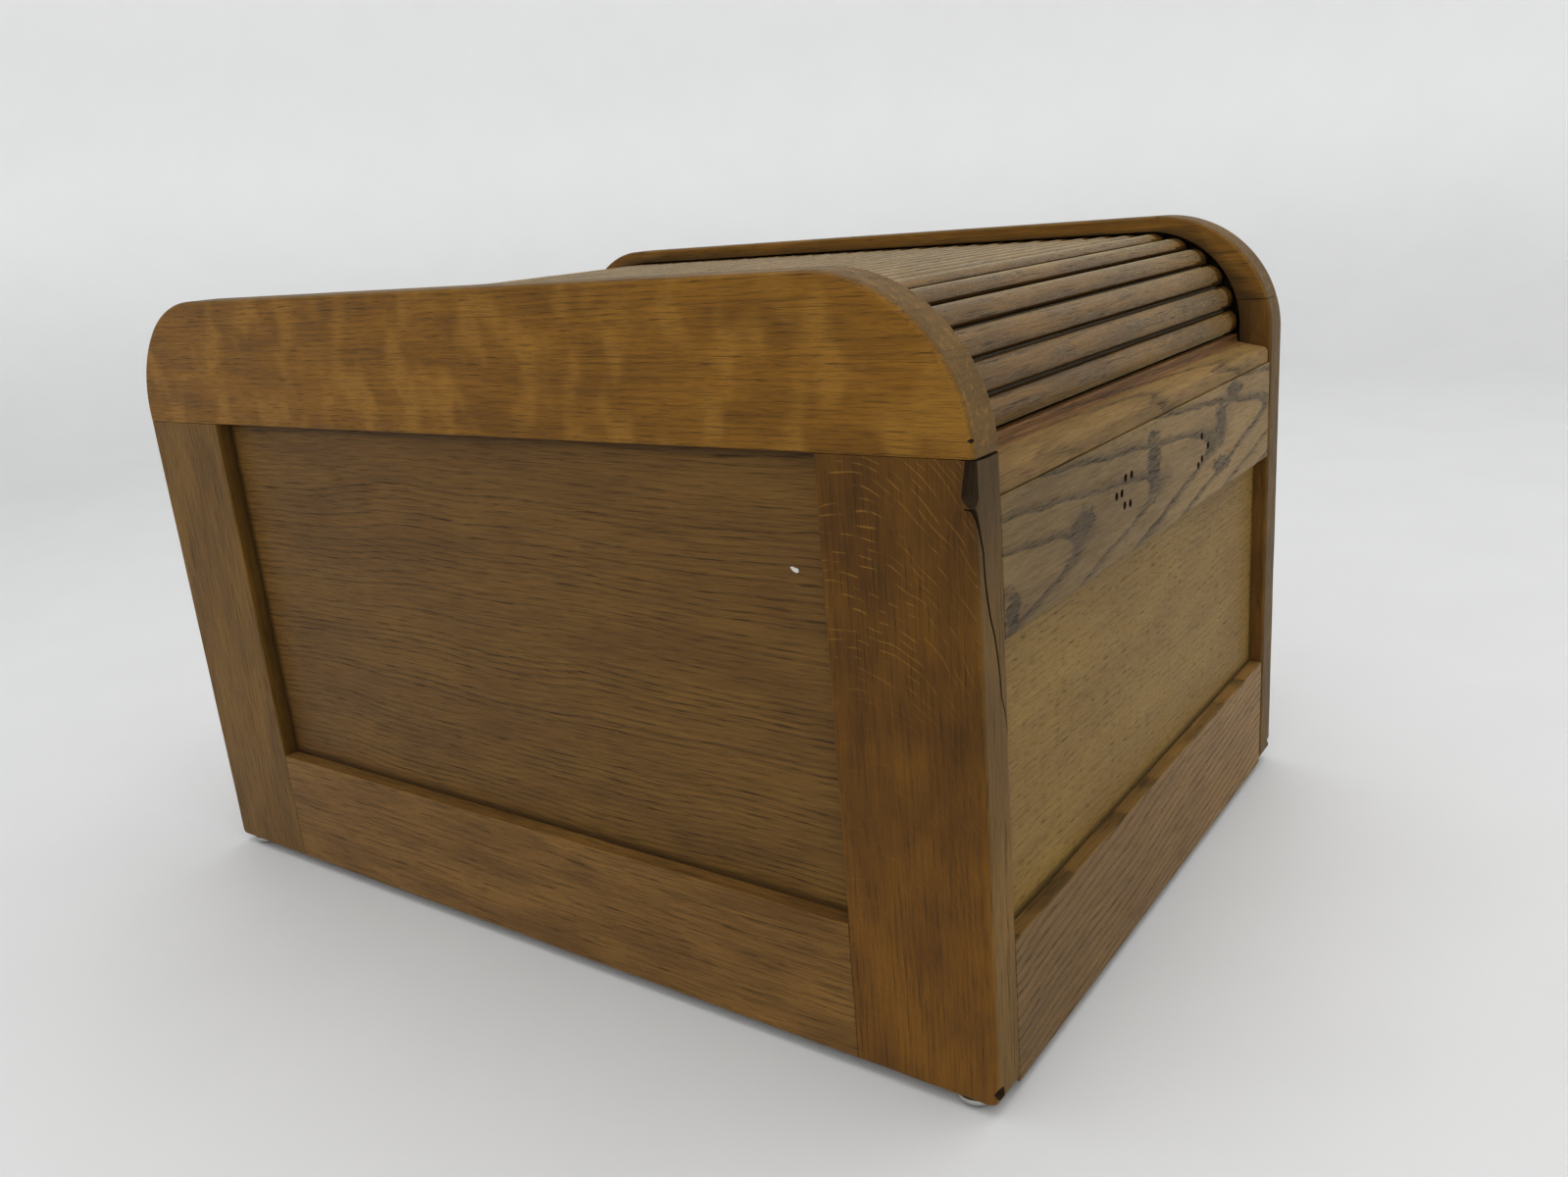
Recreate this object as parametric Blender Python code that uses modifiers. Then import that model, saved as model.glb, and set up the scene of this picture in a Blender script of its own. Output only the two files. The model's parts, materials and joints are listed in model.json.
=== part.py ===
"""Bread box with a roll top: an oak box whose tambour of half-round slats slides in grooves.

Metres, +Z up. The origin is on the surface the box stands on, under the middle of its
footprint. +X is the right-hand side, -Y is the front and +Z is up.
"""
import math

import bmesh
import bpy
from mathutils import Matrix, Vector

MM = 0.001

# Overall size
WIDTH = 350 * MM
DEPTH = 480 * MM
WOOD_HEIGHT = 300 * MM
GLIDE_HEIGHT = 4.5 * MM
GAP = 0.3 * MM
CUT_MARGIN = 1 * MM

# Side frames: rails and stiles around a panel
FRAME_THICKNESS = 18.5 * MM
STILE_WIDTH = 60 * MM
BOTTOM_RAIL_HEIGHT = 60 * MM
TOP_RAIL_HEIGHT = {"left": 60 * MM, "right": 44 * MM}
FRONT_CORNER_RADIUS = 61 * MM
REAR_CORNER_RADIUS = 56 * MM
CORNER_STEPS = 18
PANEL_THICKNESS = 6 * MM
PANEL_TONGUE = 5 * MM
SIDE_PANEL_RECESS = 7.5 * MM

# Front and back
FRONT_RAIL_THICKNESS = 18 * MM
FRONT_PANEL_RECESS = 7 * MM
FRONT_RAIL_LOW = 175 * MM
FRONT_RAIL_HIGH = 224 * MM
RAIL_SET_BACK = 0.5 * MM
BACK_THICKNESS = 10.8 * MM
BACK_HEIGHT = 270 * MM
INNER_BACK_THICKNESS = 6 * MM
INNER_BACK_HEIGHT = 246 * MM
INNER_BACK_SET_IN = 21 * MM
FLOOR_THICKNESS = 9 * MM
FLOOR_HEIGHT = 10 * MM

# Screw holes left in the upper front rail by a lock plate and a catch, as (x, height)
SCREW_HOLE_RADIUS = 1.5 * MM
SCREW_HOLE_DEPTH = 6 * MM
SCREW_HOLE_SIDES = 12
SCREW_HOLES = (
    (-46, 207), (-39.5, 207), (-55.5, 201.5), (-50, 201.5), (-47, 196), (-41, 195.5),
    (48, 206), (57, 200), (48.5, 195.5), (43.5, 193.5),
)

# Groove that the tambour runs in, cut into the inner faces of the side frames
GROOVE_OUTER_RADIUS = 49.5 * MM
GROOVE_INNER_RADIUS = 42.4 * MM
GROOVE_DEPTH = 8.7 * MM
GROOVE_TOP_SET_BACK = 7.5 * MM
GROOVE_FRONT_SET_BACK = 16.2 * MM
GROOVE_REAR_SET_BACK = 12.7 * MM
GROOVE_REAR_FOOT = 30 * MM

# Tambour
BACKING_RADIUS = 44.2 * MM
SLAT_PITCH = 12.5 * MM
SLAT_WIDTH = 11.7 * MM
SLAT_THICKNESS = 4.5 * MM
SLAT_EDGE = 1.2 * MM
SLAT_END_GAP = 0.8 * MM
SLAT_COUNT = 38
FIRST_SLAT_START = -3.8 * MM
TONGUE_LOW = 0.4 * MM
TONGUE_HIGH = 2.8 * MM
TONGUE_WIDTH = 7 * MM
TONGUE_REACH = 7.3 * MM
CROWN_STEPS = 10
TRAVEL = 58 * MM
LEAST_TURN = math.radians(0.01)
CANVAS_WIDTH = 296 * MM
CANVAS_THICKNESS = 0.8 * MM
PIVOT_SIZE = 10 * MM

# Lift rail: the leading bar, lifted by its nose
LIFT_RAIL_HEIGHT = 14.4 * MM
LIFT_RAIL_END_GAP = 1.2 * MM
LIFT_NOSE_REACH = 20.2 * MM
LIFT_NOSE_HEIGHT = 10.6 * MM
LIFT_NOSE_SHOULDER = 8 * MM
LIFT_NOSE_RADIUS = 3.2 * MM
LIFT_NOSE_SLOPE = 10
LIFT_NOSE_STEPS = 6
LIFT_EDGE_RADIUS = 1 * MM
LIFT_EDGE_STEPS = 3
LIFT_TONGUE_LOW = 3 * MM
LIFT_TONGUE_HIGH = 11 * MM

# Nail-on glides under the corners
GLIDE_RADIUS = 8.5 * MM
GLIDE_FOOT_RADIUS = 4 * MM
GLIDE_RIM = 1 * MM
GLIDE_INSET = 13 * MM
GLIDE_STEPS = 24
GLIDE_DOME_STEPS = 6

# Places that follow from the sizes above
FRONT = -DEPTH / 2
REAR = DEPTH / 2
BASE = GLIDE_HEIGHT
TOP = BASE + WOOD_HEIGHT
INNER_X = WIDTH / 2 - FRAME_THICKNESS
BEND_HEIGHT = TOP - GROOVE_TOP_SET_BACK - GROOVE_OUTER_RADIUS
FRONT_BEND_Y = FRONT + GROOVE_FRONT_SET_BACK + GROOVE_OUTER_RADIUS
REAR_BEND_Y = REAR - GROOVE_REAR_SET_BACK - GROOVE_OUTER_RADIUS
BEND_RUN = BACKING_RADIUS * math.pi / 2
FLAT_RUN = REAR_BEND_Y - FRONT_BEND_Y

COLOURS = {
    "frame_oak": ((0.30, 0.15, 0.045), 0.45),
    "panel_oak": ((0.20, 0.11, 0.045), 0.5),
    "front_oak": ((0.27, 0.16, 0.08), 0.5),
    "slat_oak": ((0.22, 0.14, 0.09), 0.55),
    "inner_wood": ((0.36, 0.24, 0.12), 0.7),
    "canvas": ((0.42, 0.36, 0.26), 0.9),
}
STEEL = ((0.6, 0.6, 0.58), 0.3)


# ---------------------------------------------------------------- scene and materials

def clear_scene():
    for obj in list(bpy.data.objects):
        bpy.data.objects.remove(obj, do_unlink=True)


def new_collection(name):
    collection = bpy.data.collections.new(name)
    bpy.context.scene.collection.children.link(collection)
    return collection


def new_material(name, colour, roughness, metallic=0.0):
    material = bpy.data.materials.new(name)
    material.use_nodes = True
    shader = material.node_tree.nodes["Principled BSDF"]
    shader.inputs["Base Color"].default_value = (*colour, 1.0)
    shader.inputs["Roughness"].default_value = roughness
    shader.inputs["Metallic"].default_value = metallic
    return material


def as_part(obj, material):
    obj.data.materials.clear()
    obj.data.materials.append(material)
    PARTS.objects.link(obj)
    return obj


def as_cutter(obj):
    obj.hide_render = True
    obj.display_type = "WIRE"
    CUTTERS.objects.link(obj)
    return obj


# ---------------------------------------------------------------- basic shapes

def block(name, low, high):
    """A box between two corners."""
    low, high = Vector(low), Vector(high)
    mesh = bpy.data.meshes.new(name)
    shape = bmesh.new()
    bmesh.ops.create_cube(shape, size=1.0)
    bmesh.ops.scale(shape, vec=high - low, verts=shape.verts)
    bmesh.ops.translate(shape, vec=(low + high) / 2, verts=shape.verts)
    shape.to_mesh(mesh)
    shape.free()
    return bpy.data.objects.new(name, mesh)


def prism(name, outline, low_x, high_x):
    """An outline of (y, z) points, extruded along X."""
    curve = bpy.data.curves.new(name, "CURVE")
    curve.dimensions = "2D"
    curve.fill_mode = "BOTH"
    curve.extrude = (high_x - low_x) / 2
    spline = curve.splines.new("POLY")
    spline.points.add(len(outline) - 1)
    for point, (y, z) in zip(spline.points, outline):
        point.co = (y, z, 0, 1)
    spline.use_cyclic_u = True
    guide = bpy.data.objects.new(name + "_outline", curve)
    bpy.context.scene.collection.objects.link(guide)
    stand_up = Matrix(((0, 0, 1, 0), (1, 0, 0, 0), (0, 1, 0, 0), (0, 0, 0, 1)))
    guide.matrix_world = Matrix.Translation(((low_x + high_x) / 2, 0, 0)) @ stand_up
    obj = frozen(name, guide)
    obj.data.transform(obj.matrix_world)
    obj.matrix_world = Matrix.Identity(4)
    return obj


def frozen(name, source):
    """A mesh object with the source's evaluated shape, which the source gives way to."""
    bpy.context.view_layer.update()
    evaluated = source.evaluated_get(bpy.context.evaluated_depsgraph_get())
    mesh = bpy.data.meshes.new_from_object(evaluated)
    mesh.name = name
    shape = bmesh.new()
    shape.from_mesh(mesh)
    bmesh.ops.remove_doubles(shape, verts=shape.verts, dist=0.00001)
    bmesh.ops.recalc_face_normals(shape, faces=shape.faces)
    shape.to_mesh(mesh)
    shape.free()
    obj = bpy.data.objects.new(name, mesh)
    obj.matrix_world = source.matrix_world.copy()
    bpy.data.objects.remove(source, do_unlink=True)
    return obj


def combine(obj, other, operation="DIFFERENCE"):
    modifier = obj.modifiers.new(other.name, "BOOLEAN")
    modifier.operation = operation
    modifier.solver = "EXACT"
    modifier.object = other


def arc(centre, radius, start, end, steps):
    """Points on an arc in the YZ plane; angles in degrees from +Y towards +Z."""
    points = []
    for step in range(steps + 1):
        angle = math.radians(start + (end - start) * step / steps)
        points.append((centre[0] + radius * math.cos(angle), centre[1] + radius * math.sin(angle)))
    return points


# ---------------------------------------------------------------- side frames

def body_outline(inset):
    """The side view of the box: square at the bottom, both upper corners round."""
    front_radius = FRONT_CORNER_RADIUS - inset
    rear_radius = REAR_CORNER_RADIUS - inset
    front_centre = (FRONT + FRONT_CORNER_RADIUS, TOP - FRONT_CORNER_RADIUS)
    rear_centre = (REAR - REAR_CORNER_RADIUS, TOP - REAR_CORNER_RADIUS)
    corners = [(FRONT + inset, BASE), (REAR - inset, BASE)]
    rear_bend = arc(rear_centre, rear_radius, 0, 90, CORNER_STEPS)
    front_bend = arc(front_centre, front_radius, 90, 180, CORNER_STEPS)
    return corners + rear_bend + front_bend


def groove_outline():
    """The band that the groove takes up, seen from the side."""
    front_centre = (FRONT_BEND_Y, BEND_HEIGHT)
    rear_centre = (REAR_BEND_Y, BEND_HEIGHT)
    front_foot = BASE + FRONT_RAIL_HIGH
    rear_foot = BASE + GROOVE_REAR_FOOT
    outer = [(FRONT_BEND_Y - GROOVE_OUTER_RADIUS, front_foot)]
    outer += arc(front_centre, GROOVE_OUTER_RADIUS, 180, 90, CORNER_STEPS)
    outer += arc(rear_centre, GROOVE_OUTER_RADIUS, 90, 0, CORNER_STEPS)
    outer += [(REAR_BEND_Y + GROOVE_OUTER_RADIUS, rear_foot)]
    inner = [(REAR_BEND_Y + GROOVE_INNER_RADIUS, rear_foot)]
    inner += arc(rear_centre, GROOVE_INNER_RADIUS, 0, 90, CORNER_STEPS)
    inner += arc(front_centre, GROOVE_INNER_RADIUS, 90, 180, CORNER_STEPS)
    inner += [(FRONT_BEND_Y - GROOVE_INNER_RADIUS, front_foot)]
    return outer + inner


def side_member(name, side, low, high, cutters, material):
    """A rail or stile: the part of the side's outline between two (y, z) corners."""
    x_low, x_high = side_faces(side)
    member = block(name, (x_low, low[0], low[1]), (x_high, high[0], high[1]))
    for cutter, operation in cutters:
        combine(member, cutter, operation)
    return as_part(member, material)


def side_faces(side):
    faces = (INNER_X, WIDTH / 2)
    return faces if side == "right" else (-faces[1], -faces[0])


def side_panel_faces(side, clearance):
    outer = WIDTH / 2 - SIDE_PANEL_RECESS
    faces = (outer - PANEL_THICKNESS - clearance, outer + clearance)
    return faces if side == "right" else (-faces[1], -faces[0])


def side_panel_block(name, side, clearance):
    reach = PANEL_TONGUE + clearance
    x_low, x_high = side_panel_faces(side, clearance)
    bottom = BASE + BOTTOM_RAIL_HEIGHT - reach
    top = TOP - TOP_RAIL_HEIGHT[side] + reach
    front = FRONT + STILE_WIDTH - reach
    rear = REAR - STILE_WIDTH + reach
    return block(name, (x_low, front, bottom), (x_high, rear, top))


def make_side_frame(side, materials):
    x_low, x_high = side_faces(side)
    joint = TOP - TOP_RAIL_HEIGHT[side]
    front_stile_edge = FRONT + STILE_WIDTH
    rear_stile_edge = REAR - STILE_WIDTH
    outline = as_cutter(prism(side + "_outline_guide", body_outline(0), x_low - GAP, x_high + GAP))
    groove_faces = (INNER_X - CUT_MARGIN, INNER_X + GROOVE_DEPTH)
    if side == "left":
        groove_faces = (-groove_faces[1], -groove_faces[0])
    groove = as_cutter(prism(side + "_groove_cutter", groove_outline(), *groove_faces))
    rebate = as_cutter(side_panel_block(side + "_panel_groove_cutter", side, GAP))
    shaping = [(outline, "INTERSECT"), (groove, "DIFFERENCE"), (rebate, "DIFFERENCE")]
    frame = materials["frame_oak"]
    front, rear, foot = FRONT - CUT_MARGIN, REAR + CUT_MARGIN, BASE - CUT_MARGIN
    side_member(side + "_top_rail", side, (front, joint + GAP), (rear, TOP + CUT_MARGIN),
                shaping, frame)
    side_member(side + "_front_stile", side, (front, foot), (front_stile_edge, joint),
                shaping, frame)
    side_member(side + "_rear_stile", side, (rear_stile_edge, foot), (rear, joint),
                shaping, frame)
    side_member(side + "_bottom_rail", side, (front_stile_edge + GAP, foot),
                (rear_stile_edge - GAP, BASE + BOTTOM_RAIL_HEIGHT), shaping, frame)
    as_part(side_panel_block(side + "_panel", side, 0), materials["panel_oak"])


# ---------------------------------------------------------------- front, back and inside

def front_panel_block(name, clearance):
    reach = PANEL_TONGUE + clearance
    y_low = FRONT + FRONT_PANEL_RECESS - clearance
    y_high = FRONT + FRONT_PANEL_RECESS + PANEL_THICKNESS + clearance
    half = INNER_X - GAP + clearance * 2
    bottom = BASE + BOTTOM_RAIL_HEIGHT - reach
    top = BASE + FRONT_RAIL_LOW + reach
    return block(name, (-half, y_low, bottom), (half, y_high, top))


def screw_hole_cutter(index, x, height):
    shape = bmesh.new()
    bmesh.ops.create_cone(shape, cap_ends=True, segments=SCREW_HOLE_SIDES,
                          radius1=SCREW_HOLE_RADIUS, radius2=SCREW_HOLE_RADIUS,
                          depth=2 * SCREW_HOLE_DEPTH)
    mesh = bpy.data.meshes.new("screw_hole")
    shape.to_mesh(mesh)
    shape.free()
    hole = bpy.data.objects.new("screw_hole_cutter_%02d" % index, mesh)
    hole.location = (x, FRONT + RAIL_SET_BACK, BASE + height)
    hole.rotation_euler = (math.pi / 2, 0, 0)
    return as_cutter(hole)


def make_front(materials):
    half = INNER_X - GAP
    y_low = FRONT + RAIL_SET_BACK
    y_high = FRONT + FRONT_RAIL_THICKNESS
    panel_groove = as_cutter(front_panel_block("front_panel_groove_cutter", GAP))
    upper = block("front_top_rail", (-half, y_low, BASE + FRONT_RAIL_LOW),
                  (half, y_high, BASE + FRONT_RAIL_HIGH))
    lower = block("front_bottom_rail", (-half, y_low, BASE), (half, y_high, BASE + BOTTOM_RAIL_HEIGHT))
    for rail in (upper, lower):
        combine(rail, panel_groove)
        as_part(rail, materials["front_oak"])
    for index, (x, height) in enumerate(SCREW_HOLES, 1):
        combine(upper, screw_hole_cutter(index, x * MM, height * MM))
    as_part(front_panel_block("front_panel", 0), materials["front_oak"])


def make_back(materials):
    half = INNER_X - GAP
    back = block("back_board", (-half, REAR - RAIL_SET_BACK - BACK_THICKNESS, BASE - GAP),
                 (half, REAR, BASE + BACK_HEIGHT))
    guide = as_cutter(prism("back_outline_guide", body_outline(RAIL_SET_BACK), -WIDTH, WIDTH))
    combine(back, guide, "INTERSECT")
    as_part(back, materials["panel_oak"])


def make_inside(materials):
    half = INNER_X - GAP
    floor_top = BASE + FLOOR_HEIGHT + FLOOR_THICKNESS
    back_face = REAR - RAIL_SET_BACK - BACK_THICKNESS
    floor = block("bottom_board", (-half, FRONT + FRONT_RAIL_THICKNESS + GAP, BASE + FLOOR_HEIGHT),
                  (half, back_face - GAP, floor_top))
    as_part(floor, materials["inner_wood"])
    rear_face = REAR - INNER_BACK_SET_IN
    inner_back = block("inner_back_board", (-half, rear_face - INNER_BACK_THICKNESS, floor_top + GAP),
                       (half, rear_face, BASE + INNER_BACK_HEIGHT))
    as_part(inner_back, materials["inner_wood"])


def glide_profile():
    """Half of a domed glide, from the middle of its top round to the middle of its foot."""
    crown = GLIDE_HEIGHT - GAP - GLIDE_RIM
    points = [(0, GLIDE_HEIGHT - GAP), (GLIDE_RADIUS, GLIDE_HEIGHT - GAP), (GLIDE_RADIUS, crown)]
    for step in range(1, GLIDE_DOME_STEPS + 1):
        angle = math.pi / 2 * step / GLIDE_DOME_STEPS
        radius = GLIDE_FOOT_RADIUS + (GLIDE_RADIUS - GLIDE_FOOT_RADIUS) * math.cos(angle)
        points.append((radius, crown * (1 - math.sin(angle))))
    points.append((0, 0))
    return points


def make_glide(name, x, y, steel):
    mesh = bpy.data.meshes.new(name)
    shape = bmesh.new()
    corners = [shape.verts.new((radius, 0, height)) for radius, height in glide_profile()]
    for first, second in zip(corners, corners[1:]):
        shape.edges.new((first, second))
    shape.to_mesh(mesh)
    shape.free()
    glide = bpy.data.objects.new(name, mesh)
    glide.location = (x, y, 0)
    turn = glide.modifiers.new("turn", "SCREW")
    turn.steps = GLIDE_STEPS
    turn.render_steps = GLIDE_STEPS
    turn.use_merge_vertices = True
    turn.merge_threshold = 0.00005
    as_part(glide, steel)


def make_glides(steel):
    x = WIDTH / 2 - FRAME_THICKNESS / 2
    y = DEPTH / 2 - GLIDE_INSET
    for end, y_place in (("front", -y), ("rear", y)):
        for side, x_place in (("left", -x), ("right", x)):
            make_glide("glide_%s_%s" % (end, side), x_place, y_place, steel)


# ---------------------------------------------------------------- the tambour's path

def path_pose(run):
    """Place and lean of the tambour's backing, at a run from the foot of the front bend.

    The lean is the turn about X that takes +Z to the way the slat's crown faces.
    """
    if run < 0:
        return Vector((FRONT_BEND_Y - BACKING_RADIUS, BEND_HEIGHT + run)), math.pi / 2
    if run < BEND_RUN:
        lean = math.pi / 2 - run / BACKING_RADIUS
        return bend_point(FRONT_BEND_Y, lean), lean
    run -= BEND_RUN
    if run < FLAT_RUN:
        return Vector((FRONT_BEND_Y + run, BEND_HEIGHT + BACKING_RADIUS)), 0.0
    run -= FLAT_RUN
    if run < BEND_RUN:
        lean = -run / BACKING_RADIUS
        return bend_point(REAR_BEND_Y, lean), lean
    run -= BEND_RUN
    return Vector((REAR_BEND_Y + BACKING_RADIUS, BEND_HEIGHT - run)), -math.pi / 2


def bend_point(centre_y, lean):
    return Vector((centre_y - BACKING_RADIUS * math.sin(lean),
                   BEND_HEIGHT + BACKING_RADIUS * math.cos(lean)))


def slat_run(number):
    return FIRST_SLAT_START + (number - 0.5) * SLAT_PITCH


def hinge_point(start_run):
    """The fixed point of the turn that takes a slat from closed to the end of its travel.

    None for a slat that stays on the flat top, and so only slides.
    """
    start, start_lean = path_pose(start_run)
    end, end_lean = path_pose(start_run + TRAVEL)
    turn = end_lean - start_lean
    if abs(turn) < LEAST_TURN:
        return None
    step = end - start
    across = Vector((-step.y, step.x))
    return (start + end) / 2 + across / (2 * math.tan(turn / 2))


def new_pivot(name, point):
    pivot = bpy.data.objects.new(name, None)
    pivot.location = (0, point.x, point.y)
    pivot.empty_display_size = PIVOT_SIZE
    PARTS.objects.link(pivot)
    return pivot


def hang_on(obj, pivot):
    obj.parent = pivot
    obj.location = obj.location - pivot.location


# ---------------------------------------------------------------- the tambour

def slat_profile():
    """Half-round section: a flat back, short upright edges and a crown."""
    half = SLAT_WIDTH / 2
    rise = SLAT_THICKNESS - SLAT_EDGE
    radius = (half * half + rise * rise) / (2 * rise)
    centre = (0, SLAT_THICKNESS - radius)
    spread = math.degrees(math.asin(half / radius))
    return [(-half, 0), (half, 0)] + arc(centre, radius, 90 - spread, 90 + spread, CROWN_STEPS)


def slat_mesh():
    """A slat along X with its backing face on Z = 0, tongued at both ends."""
    bar_half = INNER_X - SLAT_END_GAP
    tongue_half = INNER_X + TONGUE_REACH
    bar = prism("slat_bar", slat_profile(), -bar_half, bar_half)
    tongue = block("slat_tongue", (-tongue_half, -TONGUE_WIDTH / 2, TONGUE_LOW),
                   (tongue_half, TONGUE_WIDTH / 2, TONGUE_HIGH))
    for obj in (bar, tongue):
        bpy.context.scene.collection.objects.link(obj)
    combine(bar, tongue, "UNION")
    slat = frozen("slat", bar)
    bpy.data.objects.remove(tongue, do_unlink=True)
    mesh = slat.data
    bpy.data.objects.remove(slat, do_unlink=True)
    return mesh


def make_slats(material):
    mesh = slat_mesh()
    mesh.materials.append(material)
    slide = new_pivot("tambour_top_slide", Vector((0, BEND_HEIGHT + BACKING_RADIUS)))
    for number in range(1, SLAT_COUNT + 1):
        name = "tambour_slat_%02d" % number
        run = slat_run(number)
        place, lean = path_pose(run)
        slat = bpy.data.objects.new(name, mesh)
        slat.location = (0, place.x, place.y)
        slat.rotation_euler = (lean, 0, 0)
        PARTS.objects.link(slat)
        point = hinge_point(run)
        hang_on(slat, slide if point is None else new_pivot(name + "_pivot", point))
    return slide


def make_canvas(slide, material):
    """The stretch of cloth that backs the slats of the flat top."""
    flat = [number for number in range(1, SLAT_COUNT + 1) if hinge_point(slat_run(number)) is None]
    start = path_pose(slat_run(flat[0]) - SLAT_WIDTH / 2)[0]
    end = path_pose(slat_run(flat[-1]) + SLAT_WIDTH / 2)[0]
    top = start.y - GAP
    canvas = block("tambour_canvas", (-CANVAS_WIDTH / 2, start.x, top - CANVAS_THICKNESS),
                   (CANVAS_WIDTH / 2, end.x, top))
    hang_on(as_part(canvas, material), slide)


def lift_rail_outline():
    """Section of the lift rail: an upright back and a nose that a hand lifts."""
    back_y = FRONT_BEND_Y - BACKING_RADIUS
    face_y = back_y - SLAT_THICKNESS
    nose_y = back_y - LIFT_NOSE_REACH
    top = BEND_HEIGHT + FIRST_SLAT_START - GAP
    bottom = top - LIFT_RAIL_HEIGHT
    nose_top = bottom + LIFT_NOSE_HEIGHT
    shoulder = bottom + LIFT_NOSE_SHOULDER
    upper = arc((nose_y + LIFT_NOSE_RADIUS, shoulder - LIFT_NOSE_RADIUS), LIFT_NOSE_RADIUS,
                90 + LIFT_NOSE_SLOPE, 180, LIFT_NOSE_STEPS)
    lower = arc((nose_y + LIFT_EDGE_RADIUS, bottom + LIFT_EDGE_RADIUS), LIFT_EDGE_RADIUS,
                180, 270, LIFT_EDGE_STEPS)
    return [(back_y, bottom), (back_y, top), (face_y, top), (face_y, nose_top)] + upper + lower


def make_lift_rail(material):
    half = INNER_X - LIFT_RAIL_END_GAP
    rail = prism("lift_rail", lift_rail_outline(), -half, half)
    back_y = FRONT_BEND_Y - BACKING_RADIUS
    bottom = BEND_HEIGHT + FIRST_SLAT_START - GAP - LIFT_RAIL_HEIGHT
    reach = INNER_X + TONGUE_REACH
    tongue = block("lift_rail_tongue", (-reach, back_y - TONGUE_HIGH, bottom + LIFT_TONGUE_LOW),
                   (reach, back_y - TONGUE_LOW, bottom + LIFT_TONGUE_HIGH))
    combine(rail, as_cutter(tongue), "UNION")
    as_part(rail, material)
    middle = (LIFT_TONGUE_LOW + LIFT_TONGUE_HIGH) / 2
    run = bottom + middle - BEND_HEIGHT
    hang_on(rail, new_pivot("lift_rail_pivot", hinge_point(run)))


# ---------------------------------------------------------------- the whole box

clear_scene()
PARTS = new_collection("bread_box_with_roll_top")
CUTTERS = new_collection("cutters")


def main():
    materials = {name: new_material(name, *values) for name, values in COLOURS.items()}
    steel = new_material("steel", *STEEL, metallic=1.0)
    for side in ("left", "right"):
        make_side_frame(side, materials)
    make_front(materials)
    make_back(materials)
    make_inside(materials)
    make_glides(steel)
    slide = make_slats(materials["slat_oak"])
    make_canvas(slide, materials["canvas"])
    make_lift_rail(materials["front_oak"])


main()
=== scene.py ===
"""Looks of the bread box with a roll top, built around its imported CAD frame.

Metres, +Z up, in the frame's own coordinates: -Y is the front and +X the right-hand side.
Every board carries a "grain" attribute, which holds its own coordinates in millimetres: along
the grain, across it, and through the board. The wood materials read that attribute, so the
figure of each board runs its own way and stays on the board when it moves.
"""
import json
import math

import bmesh
import bpy
from mathutils import Matrix, Vector, noise


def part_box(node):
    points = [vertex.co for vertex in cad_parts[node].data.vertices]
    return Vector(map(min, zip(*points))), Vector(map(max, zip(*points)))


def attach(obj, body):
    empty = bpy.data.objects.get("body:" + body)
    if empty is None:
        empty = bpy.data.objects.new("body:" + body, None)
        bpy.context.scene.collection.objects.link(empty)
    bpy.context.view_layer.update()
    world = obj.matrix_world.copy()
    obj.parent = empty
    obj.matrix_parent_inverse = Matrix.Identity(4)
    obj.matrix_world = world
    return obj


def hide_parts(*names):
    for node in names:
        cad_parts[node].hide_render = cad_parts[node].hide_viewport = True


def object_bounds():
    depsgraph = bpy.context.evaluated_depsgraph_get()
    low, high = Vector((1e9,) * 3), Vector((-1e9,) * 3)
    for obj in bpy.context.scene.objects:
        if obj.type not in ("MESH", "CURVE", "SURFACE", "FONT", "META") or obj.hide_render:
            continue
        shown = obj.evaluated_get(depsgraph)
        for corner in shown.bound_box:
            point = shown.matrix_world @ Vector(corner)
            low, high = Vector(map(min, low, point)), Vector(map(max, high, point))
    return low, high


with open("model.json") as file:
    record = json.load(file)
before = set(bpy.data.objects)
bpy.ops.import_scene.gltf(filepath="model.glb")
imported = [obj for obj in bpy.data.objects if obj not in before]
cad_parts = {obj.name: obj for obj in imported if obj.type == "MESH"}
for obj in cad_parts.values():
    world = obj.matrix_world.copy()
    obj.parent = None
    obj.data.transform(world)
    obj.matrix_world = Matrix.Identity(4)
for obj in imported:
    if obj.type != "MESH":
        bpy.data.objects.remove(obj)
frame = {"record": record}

CAD_LOW, CAD_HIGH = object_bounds()
MM = 0.001

# Places read from the frame
FRONT, REAR, TOP = CAD_LOW.y, CAD_HIGH.y, CAD_HIGH.z
OUTER_X = CAD_HIGH.x
INNER_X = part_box("right_top_rail")[0].x
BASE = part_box("left_front_stile")[0].z
STILE_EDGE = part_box("left_front_stile")[1].y
REAR_STILE_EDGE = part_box("left_rear_stile")[0].y
SIDE_RAIL_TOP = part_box("left_bottom_rail")[1].z

# Shape of the side frames
FRONT_CORNER_RADIUS = 61 * MM
REAR_CORNER_RADIUS = 56 * MM
FOOT_CORNER_RADIUS = {"front": 5 * MM, "rear": 2.5 * MM}
CORNER_STEPS = 30
FOOT_STEPS = 5
ROUND_STEPS = 5
WEAR_SPACING = 7 * MM

# How far the side frames' arrises are worn round, as (at the front, elsewhere)
OUTER_ARRIS = (2.3 * MM, 1.6 * MM)
INNER_ARRIS = (1.6 * MM, 1.3 * MM)
OPENING_EASE = 0.7 * MM
JOINT_EASE = 0.1 * MM
WEAR_DEPTH = 1.1 * MM
WORN_FRONT_END = 105 * MM
WORN_FRONT_START = 45 * MM
WAVER = 0.3
WAVER_LENGTH = 24 * MM
FRONT_ARRIS_DEPTH = 2.5 * MM
OUTER_SEED = 3
INNER_SEED = 9

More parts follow.
